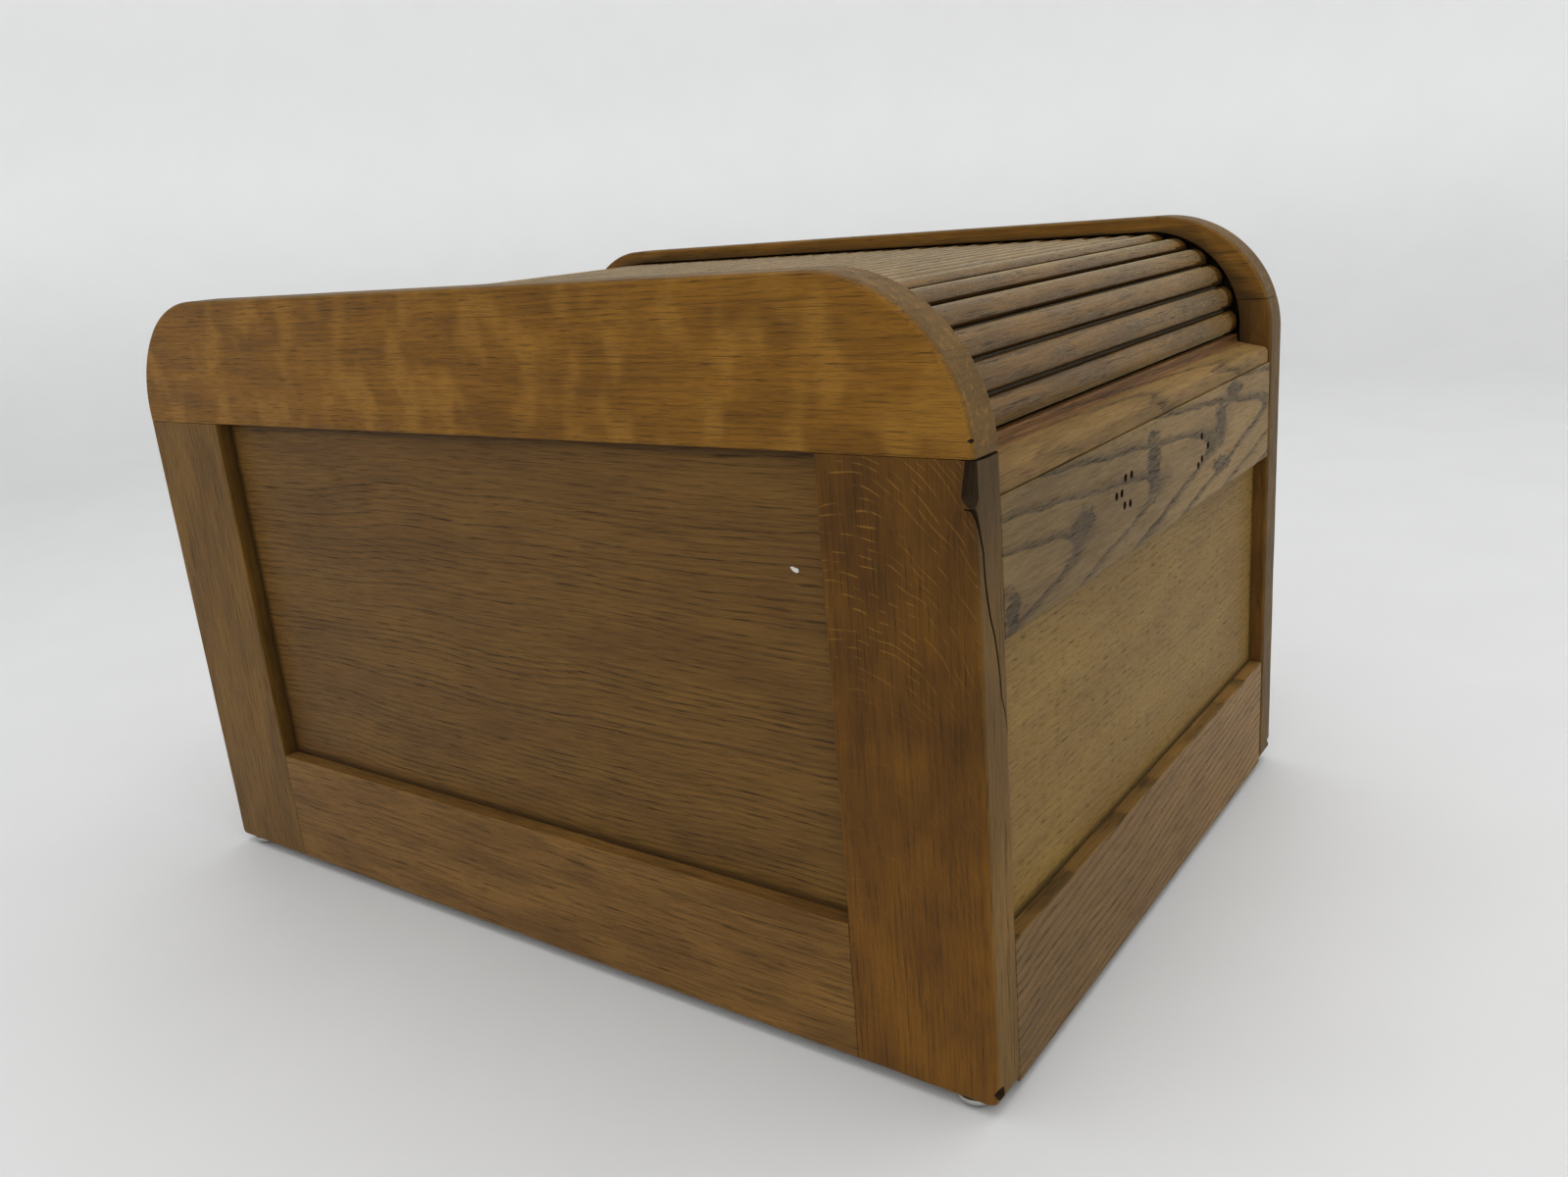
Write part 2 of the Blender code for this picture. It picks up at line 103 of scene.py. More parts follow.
# How far each board is moved through the grain's pattern, in millimetres
MEMBER_SHIFTS = (("top_rail", 11), ("front_stile", 250), ("rear_stile", 490), ("bottom_rail", 730))
SIDE_SHIFT = {"left": 0, "right": 1700}
PANEL_SHIFT = {"left": 90, "right": 1300}
SLAT_SHIFT = 137.0

# How far other boards are rounded
PLAIN_ROUND = 0.3 * MM
FRONT_RAIL_ROUND = 0.55 * MM
FRONT_RAIL_BACK_ROUND = 0.4 * MM
BACK_BOARD_ROUND = 0.5 * MM

# Dirt and painted shade on the side frames, as (where it starts, over how far it grows), and its strength
GROOVE_SHADE_AND_DIRT = (1.2 * MM, 3.5 * MM)
# Painted shade, with some dirt, on the upright sides of the panels' openings
REVEAL_SHADE_AND_DIRT = (0.5 * MM, 3 * MM)
REVEAL_SHADE_AND_DIRT_MOST = 0.8
BROKEN_DIRT_LENGTH = 60 * MM
BROKEN_DIRT_DEPTH = (5 * MM, 4 * MM)
BROKEN_DIRT_MOST = 0.62

# Clearances, and how far boards fill the gaps that the CAD leaves at joints
PANEL_CLEARANCE = 0.2 * MM
CUT_MARGIN = 1 * MM
JOINT_FILL = {"left": 0.05 * MM, "right": 0.0}
REST_FILL = 0.3 * MM

# What counts as flush, on a face, a short edge, a slight or a sharp turn, and one point
FLUSH = 0.1 * MM
ON_FACE = 0.01 * MM
SHORTEST_EDGE = 0.5 * MM
SLIGHT_TURN = math.radians(20)
SHARP_TURN = math.radians(40)
MERGE_DISTANCE = 0.005 * MM

# Groove and tambour, as in the CAD source
GROOVE_OUTER_RADIUS = 49.5 * MM
GROOVE_INNER_RADIUS = 42.4 * MM
GROOVE_DEPTH = 8.7 * MM
GROOVE_TOP_SET_BACK = 7.5 * MM
GROOVE_FRONT_SET_BACK = 16.2 * MM
GROOVE_REAR_SET_BACK = 12.7 * MM
GROOVE_REAR_FOOT = 30 * MM
FRONT_RAIL_HIGH = 224 * MM
BACKING_RADIUS = 44.2 * MM
SLAT_PITCH = 12.5 * MM
SLAT_WIDTH = 11.7 * MM
SLAT_THICKNESS = 4.5 * MM
SLAT_EDGE = 1.2 * MM
SLAT_END_GAP = 1.5 * MM
SLAT_COUNT = 38
FIRST_SLAT_START = -3.8 * MM
TONGUE_LOW = 0.4 * MM
TONGUE_HIGH = 2.8 * MM
TONGUE_WIDTH = 7 * MM
TONGUE_REACH = 7.3 * MM
# Painted shade on the slats, with some grime: it darkens them over this length towards their ends by the
# frames, and down their flanks; faces mostly in it get a wood with no shine
SLAT_END_SHADE = 13 * MM
FLANK_SHADE_LIMIT = 0.6
SLAT_ARRIS = 0.35 * MM
SLAT_CORE = 0.45 * SLAT_THICKNESS
SLAT_CROWN_STEPS = 14
SLAT_STATIONS = 36
SLAT_END_ROUND = 0.7 * MM
SLAT_END_STEPS = 4
SLAT_DENT = 0.12 * MM
SLAT_DENT_SIZE = (30 * MM, 6 * MM)
SLAT_SCRUB = 0.1 * MM
CANVAS_WIDTH = 296 * MM
CANVAS_THICKNESS = 0.6 * MM
CANVAS_GAP = 0.05 * MM
CANVAS_STRIP_WIDTH = 12.2 * MM

BEND_HEIGHT = TOP - GROOVE_TOP_SET_BACK - GROOVE_OUTER_RADIUS
FRONT_BEND_Y = FRONT + GROOVE_FRONT_SET_BACK + GROOVE_OUTER_RADIUS
REAR_BEND_Y = REAR - GROOVE_REAR_SET_BACK - GROOVE_OUTER_RADIUS
BEND_RUN = BACKING_RADIUS * math.pi / 2
FLAT_RUN = REAR_BEND_Y - FRONT_BEND_Y

# Lift rail
LIFT_END_GAP = 1.2 * MM
LIFT_NOSE_HEIGHT = 10.6 * MM
LIFT_NOSE_SHOULDER = 8 * MM
LIFT_NOSE_RADIUS = 3.2 * MM
LIFT_NOSE_SLOPE = 10
LIFT_EDGE_RADIUS = 0.5 * MM
LIFT_BACK_EASE = 0.6 * MM
LIFT_HOLLOW = 1.2 * MM
LIFT_SPACING = 3 * MM
LIFT_WEAR = (1 * MM, 3 * MM)
LIFT_TONGUE_LOW = 3 * MM
LIFT_TONGUE_HIGH = 11 * MM

# Domed glides
GLIDE_FOOT = 4 * MM
GLIDE_RIM = 1 * MM
GLIDE_EASE = 0.3 * MM
GLIDE_DOME_STEPS = 12
GLIDE_STEPS = 48

# Screw holes in the upper front rail, as (x, height above the wood's foot) in millimetres
SCREW_HOLE_RADIUS = 1.5 * MM
SCREW_HOLE_DEPTH = 6 * MM
SCREW_HOLE_RIM = 0.4 * MM
SCREW_HOLES = (
    (-46, 207), (-39.5, 207), (-55.5, 201.5), (-50, 201.5), (-47, 196), (-41, 195.5),
    (48, 206), (57, 200), (48.5, 195.5), (43.5, 193.5),
)

# Dark patches of the upper front rail's figure, as (x, y, reach, reach) from its middle
RAIL_SMUDGES = (
    (-14.0, 7.0, 9.0, 15.0), (-88.0, -1.0, 13.0, 5.5), (-150.0, -18.0, 6.0, 9.0),
    (76.0, 9.0, 9.0, 11.0), (78.0, -12.0, 15.0, 5.0), (96.0, 20.0, 13.0, 4.0),
)

# Broken places at the front arris, as corners in millimetres: in from the outer face, back from
# the front, and up from the joint or, for the foot's chip, from the wood's foot
THROUGH = (OUTER_X - INNER_X) / MM + 1
SPLINTER = (
    (-1, -1, 1), (-1, 3, 1), (-1, 5.2, -12.5), (-1, 3.4, -15), (-1, -1, -19),
    (2, 2.6, 1), (1.9, 4.4, -11.5), (2.4, -1, 1), (2.6, -1, -13),
)
DENT = ((-1, -1, 3), (-1, -1, 9.5), (-1, 2.6, 6.2), (1.6, 1.4, 6), (2.6, -1, 6.6))
FOOT_CHIP = ((-1, -1, 3), (-1, -1, 10.5), (6, -1, 2), (5, -1, 9), (-1, 1.6, 6.5), (3.4, 2.6, 6))
OPEN_JOINT = (
    (-1, -1, 2), (THROUGH, -1, 2), (-1, 4, 2), (THROUGH, 9, 2), (-1, -1, -0.5),
    ((THROUGH - 1) / 2, -1, -1), (THROUGH, -1, -0.6), (-1, 4, 0), (THROUGH, 9, 0),
)

# Split in the front left stile, down its front edge
SPLIT_TOP = Vector((-174.6, 229.0)) * MM
SPLIT_FOOT = Vector((-157.7, 146.0)) * MM
SPLIT_WIDTH = 1.2 * MM
SPLIT_TIP = 0.2 * MM
SPLIT_WAVER = 1.6 * MM
SPLIT_STEPS = 11
SPLIT_DEPTH = 4 * MM

# Speck of paint on the left panel: its place as (y, z), and its corners from there in millimetres
FLECK_PLACE = (-163 * MM, 200 * MM)
FLECK_CORNERS = (
    (-1.9, -0.6), (-0.8, -1.1), (0.7, -0.4), (1.8, 0.9), (0.9, 1.2), (-0.4, 0.3), (-1.7, 0.5),
)
FLECK_LEVELS = (0.02 * MM, -0.14 * MM)

# The camera looks at the box's front left corner from a little above it
CAMERA_PLACE = (-0.52094, -0.41995, 0.32297)
CAMERA_TURN = (73.428, 4.664, -54.801)
CAMERA_LENS = 29.088
SENSOR_WIDTH = 36

# The floor and the wall round it, in metres
FLOOR_RADIUS = 1.7
WALL_BEND = 0.7
WALL_HEIGHT = 2.6

# Lights, as (name, place, diameter, power, colour), and the sky's light
LIGHTS = (
    ("overhead", (0.0, -0.2, 2.4), 3.0, 36, (1, 1, 1)),
    ("window", (1.3, -1.7, 1.5), 1.8, 4, (1.0, 0.99, 0.97)),
    ("fill", (-1.7, -0.5, 1.3), 1.8, 8, (0.98, 0.99, 1.0)),
)
LIGHT_TARGET = (0, 0, 0.15)
SKY_COLOUR = (0.95, 0.97, 1.0, 1.0)
SKY_STRENGTH = 0.56


# ---------------------------------------------------------------- outlines

def clamp(value, top=1.0):
    """A value kept between 0 and a top."""
    return min(top, max(0.0, value))


def arc(centre, radius, start, end, steps):
    """Points on an arc; angles in degrees, anticlockwise from the first axis."""
    points = []
    for step in range(steps + 1):
        angle = math.radians(start + (end - start) * step / steps)
        points.append(Vector((centre[0] + radius * math.cos(angle),
                              centre[1] + radius * math.sin(angle))))
    return points


def rectangle(low, high):
    return [Vector(low), Vector((high[0], low[1])), Vector(high), Vector((low[0], high[1]))]


def body_corners():
    """(centre, radius, quadrant) of the four round corners of the box's side view."""
    front_foot, rear_foot = FOOT_CORNER_RADIUS["front"], FOOT_CORNER_RADIUS["rear"]
    return (
        ((FRONT + front_foot, BASE + front_foot), front_foot, (-1, -1)),
        ((REAR - rear_foot, BASE + rear_foot), rear_foot, (1, -1)),
        ((REAR - REAR_CORNER_RADIUS, TOP - REAR_CORNER_RADIUS), REAR_CORNER_RADIUS, (1, 1)),
        ((FRONT + FRONT_CORNER_RADIUS, TOP - FRONT_CORNER_RADIUS), FRONT_CORNER_RADIUS, (-1, 1)),
    )


def body_outline():
    """The side view of the box, anticlockwise seen from +X, from the front foot."""
    points = []
    for index, (centre, radius, _) in enumerate(body_corners()):
        steps = FOOT_STEPS if index < 2 else CORNER_STEPS
        points += arc(centre, radius, 180 + 90 * index, 270 + 90 * index, steps)
    return points


def depth_inside(point):
    """How far a (y, z) point lies inside the box's side view."""
    for centre, radius, (side, rise) in body_corners():
        offset = Vector(((point[0] - centre[0]) * side, (point[1] - centre[1]) * rise))
        if offset.x > 0 and offset.y > 0:
            return radius - offset.length
    return min(point[0] - FRONT, REAR - point[0], point[1] - BASE, TOP - point[1])


def clip(outline, axis, limit, sign):
    """The part of an outline on the side of a limit that sign points to."""
    kept = []
    for here, there in zip(outline, outline[1:] + outline[:1]):
        before = (here[axis] - limit) * sign
        after = (there[axis] - limit) * sign
        if before >= 0:
            kept.append(here)
        if before * after < 0:
            kept.append(here.lerp(there, before / (before - after)))
    return kept


def without_short_edges(outline):
    """An outline without the points close to a neighbour that turn it only a little."""
    kept = []
    for before, here, after in zip(outline[-1:] + outline[:-1], outline, outline[1:] + outline[:1]):
        close = min((here - before).length, (after - here).length) < SHORTEST_EDGE
        if not close or (here - before).angle(after - here) > SLIGHT_TURN:
            kept.append(here)
    return kept


def within(outline, low, high, fill=0.0):
    """The part of the box's side view inside a window, whose outer sides cut nothing.

    The window's other sides are moved out by the fill, to close a joint.
    """
    limits = ((0, low[0], 1, FRONT), (0, high[0], -1, REAR), (1, low[1], 1, BASE), (1, high[1], -1, TOP))
    for axis, limit, sign, extreme in limits:
        if abs(limit - extreme) > FLUSH:
            outline = clip(outline, axis, limit - sign * fill, sign)
    return without_short_edges(outline)


def densify(outline, spacing, breaks=((), ())):
    """Adds points along long edges, and where an edge passes a break in either coordinate."""
    points = []
    for here, there in zip(outline, outline[1:] + outline[:1]):
        shares = {0.0}
        length = (there - here).length
        for axis in (0, 1):
            for value in breaks[axis]:
                if (here[axis] - value) * (there[axis] - value) < 0:
                    share = (value - here[axis]) / (there[axis] - here[axis])
                    if min(share, 1 - share) * length > SHORTEST_EDGE:
                        shares.add(share)
        stops = sorted(shares) + [1.0]
        for start, end in zip(stops, stops[1:]):
            count = max(1, round(length * (end - start) / spacing))
            for step in range(count):
                points.append(here.lerp(there, start + (end - start) * step / count))
    return points


def inset(outline, distances):
    """An outline, anticlockwise, with each edge moved inwards by its own distance."""
    count = len(outline)
    normals = []
    for index in range(count):
        along = (outline[(index + 1) % count] - outline[index]).normalized()
        normals.append(Vector((-along.y, along.x)))
    moved = []
    for index, point in enumerate(outline):
        first, second = normals[index - 1], normals[index]
        near, far = distances[index - 1], distances[index]
        turn = first.x * second.y - first.y * second.x
        if abs(turn) < 0.2:
            moved.append(point + (first + second).normalized() * (near + far) / 2)
        else:
            moved.append(point + Vector(((near * second.y - far * first.y) / turn,
                                         (far * first.x - near * second.x) / turn)))
    return moved


# ---------------------------------------------------------------- solids

PLANES = {
    "YZ": Matrix(((0, 0, 1, 0), (1, 0, 0, 0), (0, 1, 0, 0), (0, 0, 0, 1))),
    "XZ": Matrix(((1, 0, 0, 0), (0, 0, 1, 0), (0, 1, 0, 0), (0, 0, 0, 1))),
    "XY": Matrix.Identity(4),
}


def rings(outline, low, high, low_radii, high_radii):
    """The rings of points of a prism whose rims are worn round by a radius for each edge."""
    found = []
    for radii, face, sign in ((low_radii, low, 1), (high_radii, high, -1)):
        side = []
        for step in range(ROUND_STEPS + 1):
            angle = math.pi / 2 * step / ROUND_STEPS
            flat = inset(outline, [radius * (1 - math.sin(angle)) for radius in radii])
            ring = []
            for index, point in enumerate(flat):
                reach = max(radii[index - 1], radii[index]) * (1 - math.cos(angle))
                ring.append((point.x, point.y, face + sign * reach))
            side.append(ring)
        found += side if sign == 1 else side[::-1]
    return found


def lofted(name, layers, plane="XY"):
    """A closed solid through rings of points, each with the same number of points."""
    shape = bmesh.new()
    rows = [[shape.verts.new(point) for point in ring] for ring in layers]
    for lower, upper in zip(rows, rows[1:]):
        for index in range(len(lower)):
            shape.faces.new((lower[index - 1], lower[index], upper[index], upper[index - 1]))
    shape.faces.new(rows[0][::-1])
    shape.faces.new(rows[-1])
    bmesh.ops.transform(shape, matrix=PLANES[plane], verts=shape.verts)
    return finished_mesh(name, shape)


def solid(name, outline, plane, low, high, low_round=PLAIN_ROUND, high_round=PLAIN_ROUND):
    """A prism between two levels, with its rims rounded.

    A rounding is a radius, or a function that gives the radius at the middle of an edge.
    """
    middles = [(here + there) / 2 for here, there in zip(outline, outline[1:] + outline[:1])]
    radii = []
    for rounding in (low_round, high_round):
        radii.append([rounding(middle) if callable(rounding) else rounding for middle in middles])
    return lofted(name, rings(outline, low, high, *radii), plane)


def turned(name, profile, steps, centre=(0, 0)):
    """A profile of (radius, height) points turned about an upright axis."""
    shape = bmesh.new()
    corners = [shape.verts.new((point.x, 0, point.y)) for point in profile]
    edges = [shape.edges.new(pair) for pair in zip(corners, corners[1:])]
    bmesh.ops.spin(shape, geom=corners + edges, cent=(0, 0, 0), axis=(0, 0, 1),
                   angle=2 * math.pi, steps=steps, use_merge=True)
    bmesh.ops.translate(shape, vec=(*centre, 0), verts=shape.verts)
    return finished_mesh(name, shape)


def finished_mesh(name, shape):
    bmesh.ops.remove_doubles(shape, verts=shape.verts, dist=MERGE_DISTANCE)
    bmesh.ops.recalc_face_normals(shape, faces=shape.faces)
    mesh = bpy.data.meshes.new(name)
    shape.to_mesh(mesh)
    shape.free()
    obj = bpy.data.objects.new(name, mesh)
    bpy.context.scene.collection.objects.link(obj)
    return obj


def carve(obj, cutters, operation="DIFFERENCE"):
    """Cuts each cutter out of an object, or joins it on, and takes the cutters away."""
    for cutter in cutters:
        modifier = obj.modifiers.new(cutter.name, "BOOLEAN")
        modifier.operation = operation
        modifier.solver = "EXACT"
        modifier.material_mode = "TRANSFER"
        modifier.object = cutter
    bpy.context.view_layer.update()
    mesh = bpy.data.meshes.new_from_object(obj.evaluated_get(bpy.context.evaluated_depsgraph_get()))
    obj.modifiers.clear()
    obj.data = mesh
    for cutter in cutters:
        bpy.data.objects.remove(cutter, do_unlink=True)


def dyed(obj, material):
    """An object with one material, which a cutter leaves on the faces it makes."""
    obj.data.materials.clear()
    obj.data.materials.append(material)
    return obj


def hull(name, points):
    shape = bmesh.new()
    for point in points:
        shape.verts.new(point)
    bmesh.ops.convex_hull(shape, input=shape.verts)
    return finished_mesh(name, shape)


def smooth(obj):
    """Soft shading over the worn arrises, with the flat faces kept flat."""
    obj.data.shade_smooth()
    obj.data.set_sharp_from_angle(angle=SHARP_TURN)
    modifier = obj.modifiers.new("flat_faces", "WEIGHTED_NORMAL")
    modifier.keep_sharp = True
    modifier.weight = 100
    return obj


def middle(node):
    low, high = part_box(node)
    return (low + high) / 2


def mark(obj, along, across, origin=(0, 0, 0), shift=0.0, wear=None, dirt=None):
    """Gives a board its wear, its dirt and its grain coordinates, in millimetres from its middle; the
    dirt also carries painted shade on the side frames, and a slat's wear holds how far it is out of its
    painted shade.

    The shift moves the board through the grain's pattern, so that no two boards look alike.
    """
    along, across, origin = Vector(along), Vector(across), Vector(origin)
    through = along.cross(across)
    attributes = obj.data.attributes
    attributes.new("grain", "FLOAT_VECTOR", "POINT")
    attributes.new("wear", "FLOAT", "POINT")
    attributes.new("dirt", "FLOAT", "POINT")
    grain, worn, dirty = (attributes[name].data for name in ("grain", "wear", "dirt"))
    for vertex in obj.data.vertices:
        offset = (vertex.co - origin) / MM
        grain[vertex.index].vector = (offset.dot(along), offset.dot(across), offset.dot(through) + shift)
        worn[vertex.index].value = wear(vertex.co) if wear else 0.0
        dirty[vertex.index].value = dirt(vertex.co) if dirt else 0.0


def place(obj, node, body):
    """Puts a finished piece in a CAD node's stead."""
    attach(obj, body)
    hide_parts(node)


def make_board(node, plane, wood, shift=0.0):
    """A plain board in a CAD node's stead, its grain along the first axis of its plane."""
    low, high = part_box(node)
    along, across, normal = (PLANES[plane].col[axis].xyz for axis in range(3))
    outline = rectangle(*((end.dot(along), end.dot(across)) for end in (low, high)))
    board = solid(node + "_wood", outline, plane, low.dot(normal), high.dot(normal))
    mark(board, along, across, middle(node), shift)
    place(smooth(dyed(board, wood)), node, "box")


# ---------------------------------------------------------------- side frames

def waver(point, seed):
    """A slow wavering about 1, along a worn arris."""
    where = Vector((point[0], point[1], 0)) / WAVER_LENGTH + Vector((0, 0, seed))
    return 1 + WAVER * noise.noise(where)


def rim_rounding(side, outer):
    """How far the rim of a side frame's member is worn round, at a (y, z) point."""
    front_wear, plain_wear = OUTER_ARRIS if outer else INNER_ARRIS
    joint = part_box(side + "_front_stile")[1].z

    def radius(point):
        if depth_inside(point) > FLUSH:
            in_opening = (STILE_EDGE - MM < point[0] < REAR_STILE_EDGE + MM
                          and SIDE_RAIL_TOP - MM < point[1] < joint + MM)
            return OPENING_EASE if in_opening else JOINT_EASE
        share = clamp((FRONT + WORN_FRONT_END - point[0]) / (WORN_FRONT_END - WORN_FRONT_START))
        seed = OUTER_SEED if outer else INNER_SEED
        return (plain_wear + (front_wear - plain_wear) * share) * waver(point, seed)

    return radius


def rim_wear(point):
    """Wear on a side frame: full on its outer edges, fading round the arris."""
    return clamp(1 - depth_inside(point[1:]) / WEAR_DEPTH)


def groove_shade_and_dirt(point):
    """Painted shade, with some dirt, on the inner face of a side frame, thickest by the groove."""
    start, length = GROOVE_SHADE_AND_DIRT
    on_inner_face = abs(abs(point[0]) - INNER_X) < FLUSH
    return clamp((depth_inside(point[1:]) - start) / length) if on_inner_face else 0.0


def reveal_shade_and_dirt(point):
    """Painted shade, with some dirt, on the upright sides of a panel's opening."""
    start, length = REVEAL_SHADE_AND_DIRT
    by_opening = min(abs(point[1] - STILE_EDGE), abs(point[1] - REAR_STILE_EDGE)) < 1 * MM
    depth = OUTER_X - abs(point[0])
    return clamp((depth - start) / length, REVEAL_SHADE_AND_DIRT_MOST) if by_opening else 0.0


def broken_dirt(point, joint):
    """Dirt on the front left stile's front edge, round its broken arris."""
    depth, length = BROKEN_DIRT_DEPTH
    upwards = 1 - (joint - point[2]) / BROKEN_DIRT_LENGTH
    forwards = (FRONT + depth - point[1]) / length
    return BROKEN_DIRT_MOST * clamp(upwards) * clamp(forwards)


def frame_dirt_and_shade(side, member, joint):
    """Dirt and painted shade on a member of a side frame."""
    broken = side == "left" and member == "front_stile"

    def dirt(point):
        most = max(groove_shade_and_dirt(point), reveal_shade_and_dirt(point))
        return max(most, broken_dirt(point, joint)) if broken else most

    return dirt


def groove_outline():
    """The band that the groove takes up, seen from the side."""
    front_centre = (FRONT_BEND_Y, BEND_HEIGHT)
    rear_centre = (REAR_BEND_Y, BEND_HEIGHT)
    front_foot = BASE + FRONT_RAIL_HIGH
    rear_foot = BASE + GROOVE_REAR_FOOT
    outer = [Vector((FRONT_BEND_Y - GROOVE_OUTER_RADIUS, front_foot))]
    outer += arc(front_centre, GROOVE_OUTER_RADIUS, 180, 90, CORNER_STEPS)
    outer += arc(rear_centre, GROOVE_OUTER_RADIUS, 90, 0, CORNER_STEPS)
    outer += [Vector((REAR_BEND_Y + GROOVE_OUTER_RADIUS, rear_foot))]
    inner = [Vector((REAR_BEND_Y + GROOVE_INNER_RADIUS, rear_foot))]
    inner += arc(rear_centre, GROOVE_INNER_RADIUS, 0, 90, CORNER_STEPS)
    inner += arc(front_centre, GROOVE_INNER_RADIUS, 90, 180, CORNER_STEPS)
    inner += [Vector((FRONT_BEND_Y - GROOVE_INNER_RADIUS, front_foot))]
    return (outer + inner)[::-1]


def groove_cutter(side):
    faces = (INNER_X - CUT_MARGIN, INNER_X + GROOVE_DEPTH)
    if side == "left":
        faces = (-faces[1], -faces[0])
    return solid("groove_cutter", groove_outline(), "YZ", *faces, 0, 0)


def block(name, low, high):
    return solid(name, rectangle(low[:2], high[:2]), "XY", low[2], high[2], 0, 0)


def grown_block(name, node, clearance):
    low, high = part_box(node)
    margin = Vector((clearance, clearance, clearance))
    return block(name, low - margin, high + margin)


def split_cutter():
    """A thin crooked wedge down the front edge of the front left stile."""
    left, right = [], []
    for step in range(SPLIT_STEPS + 1):
        share = step / SPLIT_STEPS
        point = SPLIT_TOP.lerp(SPLIT_FOOT, share)
        point.x += SPLIT_WAVER * noise.noise(Vector((6 * share, 0, 1.5)))
        half_width = (SPLIT_WIDTH + (SPLIT_TIP - SPLIT_WIDTH) * share ** 3) / 2
        left.append(point - Vector((half_width, 0)))
        right.append(point + Vector((half_width, 0)))
    return solid("split_cutter", left + right[::-1], "XZ", FRONT - CUT_MARGIN, FRONT + SPLIT_DEPTH, 0, 0)


def broken_cutter(name, height, corners, inwards=1):
    """A cutter for a broken place at a side frame's front arris."""
    arris = Vector((-inwards * OUTER_X, FRONT, height))
    return hull(name, [arris + MM * Vector((inwards * x, y, z)) for x, y, z in corners])


def side_cutters(side, member, joint, shaded_raw):
    """What is cut from a member of a side frame; worn and broken places show dark wood, dark with dirt
    and painted shade.
    """
    marks = [groove_cutter(side)]
    if member == "front_stile":
        inwards = 1 if side == "left" else -1
        marks.append(broken_cutter("foot_chip_cutter", BASE, FOOT_CHIP, inwards))
    if side == "left" and member == "front_stile":
        marks += [broken_cutter("chip_cutter", joint, SPLINTER), split_cutter(),
                  broken_cutter("open_joint_cutter", joint, OPEN_JOINT)]
    if side == "left" and member == "top_rail":
        marks.append(broken_cutter("dent_cutter", joint, DENT))
    rebate = grown_block("rebate_cutter", side + "_panel", PANEL_CLEARANCE)
    return [rebate] + [dyed(cutter, shaded_raw) for cutter in marks]


def make_side_frame(side, woods):
    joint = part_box(side + "_front_stile")[1].z
    outer, inner = rim_rounding(side, True), rim_rounding(side, False)
    faces = (-OUTER_X, -INNER_X, outer, inner)
    if side == "right":
        faces = (INNER_X, OUTER_X, inner, outer)
    breaks = ((STILE_EDGE, REAR_STILE_EDGE), (SIDE_RAIL_TOP, joint))
    for member, shift in MEMBER_SHIFTS:
        node = side + "_" + member
        low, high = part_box(node)
        outline = within(body_outline(), low.yz, high.yz, JOINT_FILL[side])
        board = solid(node + "_wood", densify(outline, WEAR_SPACING, breaks), "YZ", *faces)
        dyed(board, woods[node])
        carve(board, side_cutters(side, member, joint, woods["shaded_raw"]))
        grain = ((0, 1, 0), (0, 0, 1)) if "rail" in member else ((0, 0, 1), (0, 1, 0))
        shift += SIDE_SHIFT[side]
        mark(board, *grain, middle(node), shift, rim_wear, frame_dirt_and_shade(side, member, joint))
        place(smooth(board), node, "box")
    make_board(side + "_panel", "YZ", woods[side + "_panel"], PANEL_SHIFT[side])


# ---------------------------------------------------------------- front, back and inside

def edge_wear(node):
    """Wear on the rounded arrises of a plain board."""
    low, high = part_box(node)

    def wear(point):
        distances = sorted(min(point[axis] - low[axis], high[axis] - point[axis]) for axis in range(3))
        on_arris = distances[0] > ON_FACE and distances[1] < FRONT_ARRIS_DEPTH
        return 1.0 if on_arris else 0.0

    return wear


def wavering(radius, seed):
    """A rounding that wavers along the arris."""
    return lambda point: radius * waver(point, seed)


def screw_hole_cutters():
    """The screw holes of the upper front rail, and their broken rims."""
    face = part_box("front_top_rail")[0].y
    turn = Matrix.Rotation(math.pi / 2, 4, "X")
    radius, rim = SCREW_HOLE_RADIUS, SCREW_HOLE_RIM
    sizes = ((radius, radius, 2 * SCREW_HOLE_DEPTH), (radius - rim, radius + 2 * rim, 3 * rim))
    cutters = []
    for inner_radius, outer_radius, depth in sizes:
        shape = bmesh.new()
        for x, height in SCREW_HOLES:
            matrix = Matrix.Translation((x * MM, face, BASE + height * MM)) @ turn
            bmesh.ops.create_cone(shape, cap_ends=True, segments=20, radius1=inner_radius,
                                  radius2=outer_radius, depth=depth, matrix=matrix)
        cutters.append(finished_mesh("screw_hole_cutter", shape))
    return cutters


def make_front(woods):
    for node, seed in (("front_top_rail", 0), ("front_bottom_rail", 27)):
        low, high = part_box(node)
        high = high + Vector((0, 0, REST_FILL if node == "front_top_rail" else 0))
        outline = densify(rectangle(low.xz, high.xz), WEAR_SPACING)
        roundings = (wavering(FRONT_RAIL_ROUND, seed), FRONT_RAIL_BACK_ROUND)
        rail = solid(node + "_wood", outline, "XZ", low.y, high.y, *roundings)
        dyed(rail, woods[node])
        cutters = [grown_block("rebate_cutter", "front_panel", PANEL_CLEARANCE)]
        if node == "front_top_rail":
            cutters += [dyed(cutter, woods["shaded_raw"]) for cutter in screw_hole_cutters()]
        carve(rail, cutters)
        mark(rail, (1, 0, 0), (0, 0, 1), middle(node), 40 * seed, edge_wear(node))
        place(smooth(rail), node, "box")
    make_board("front_panel", "XZ", woods["front_panel"], 600)


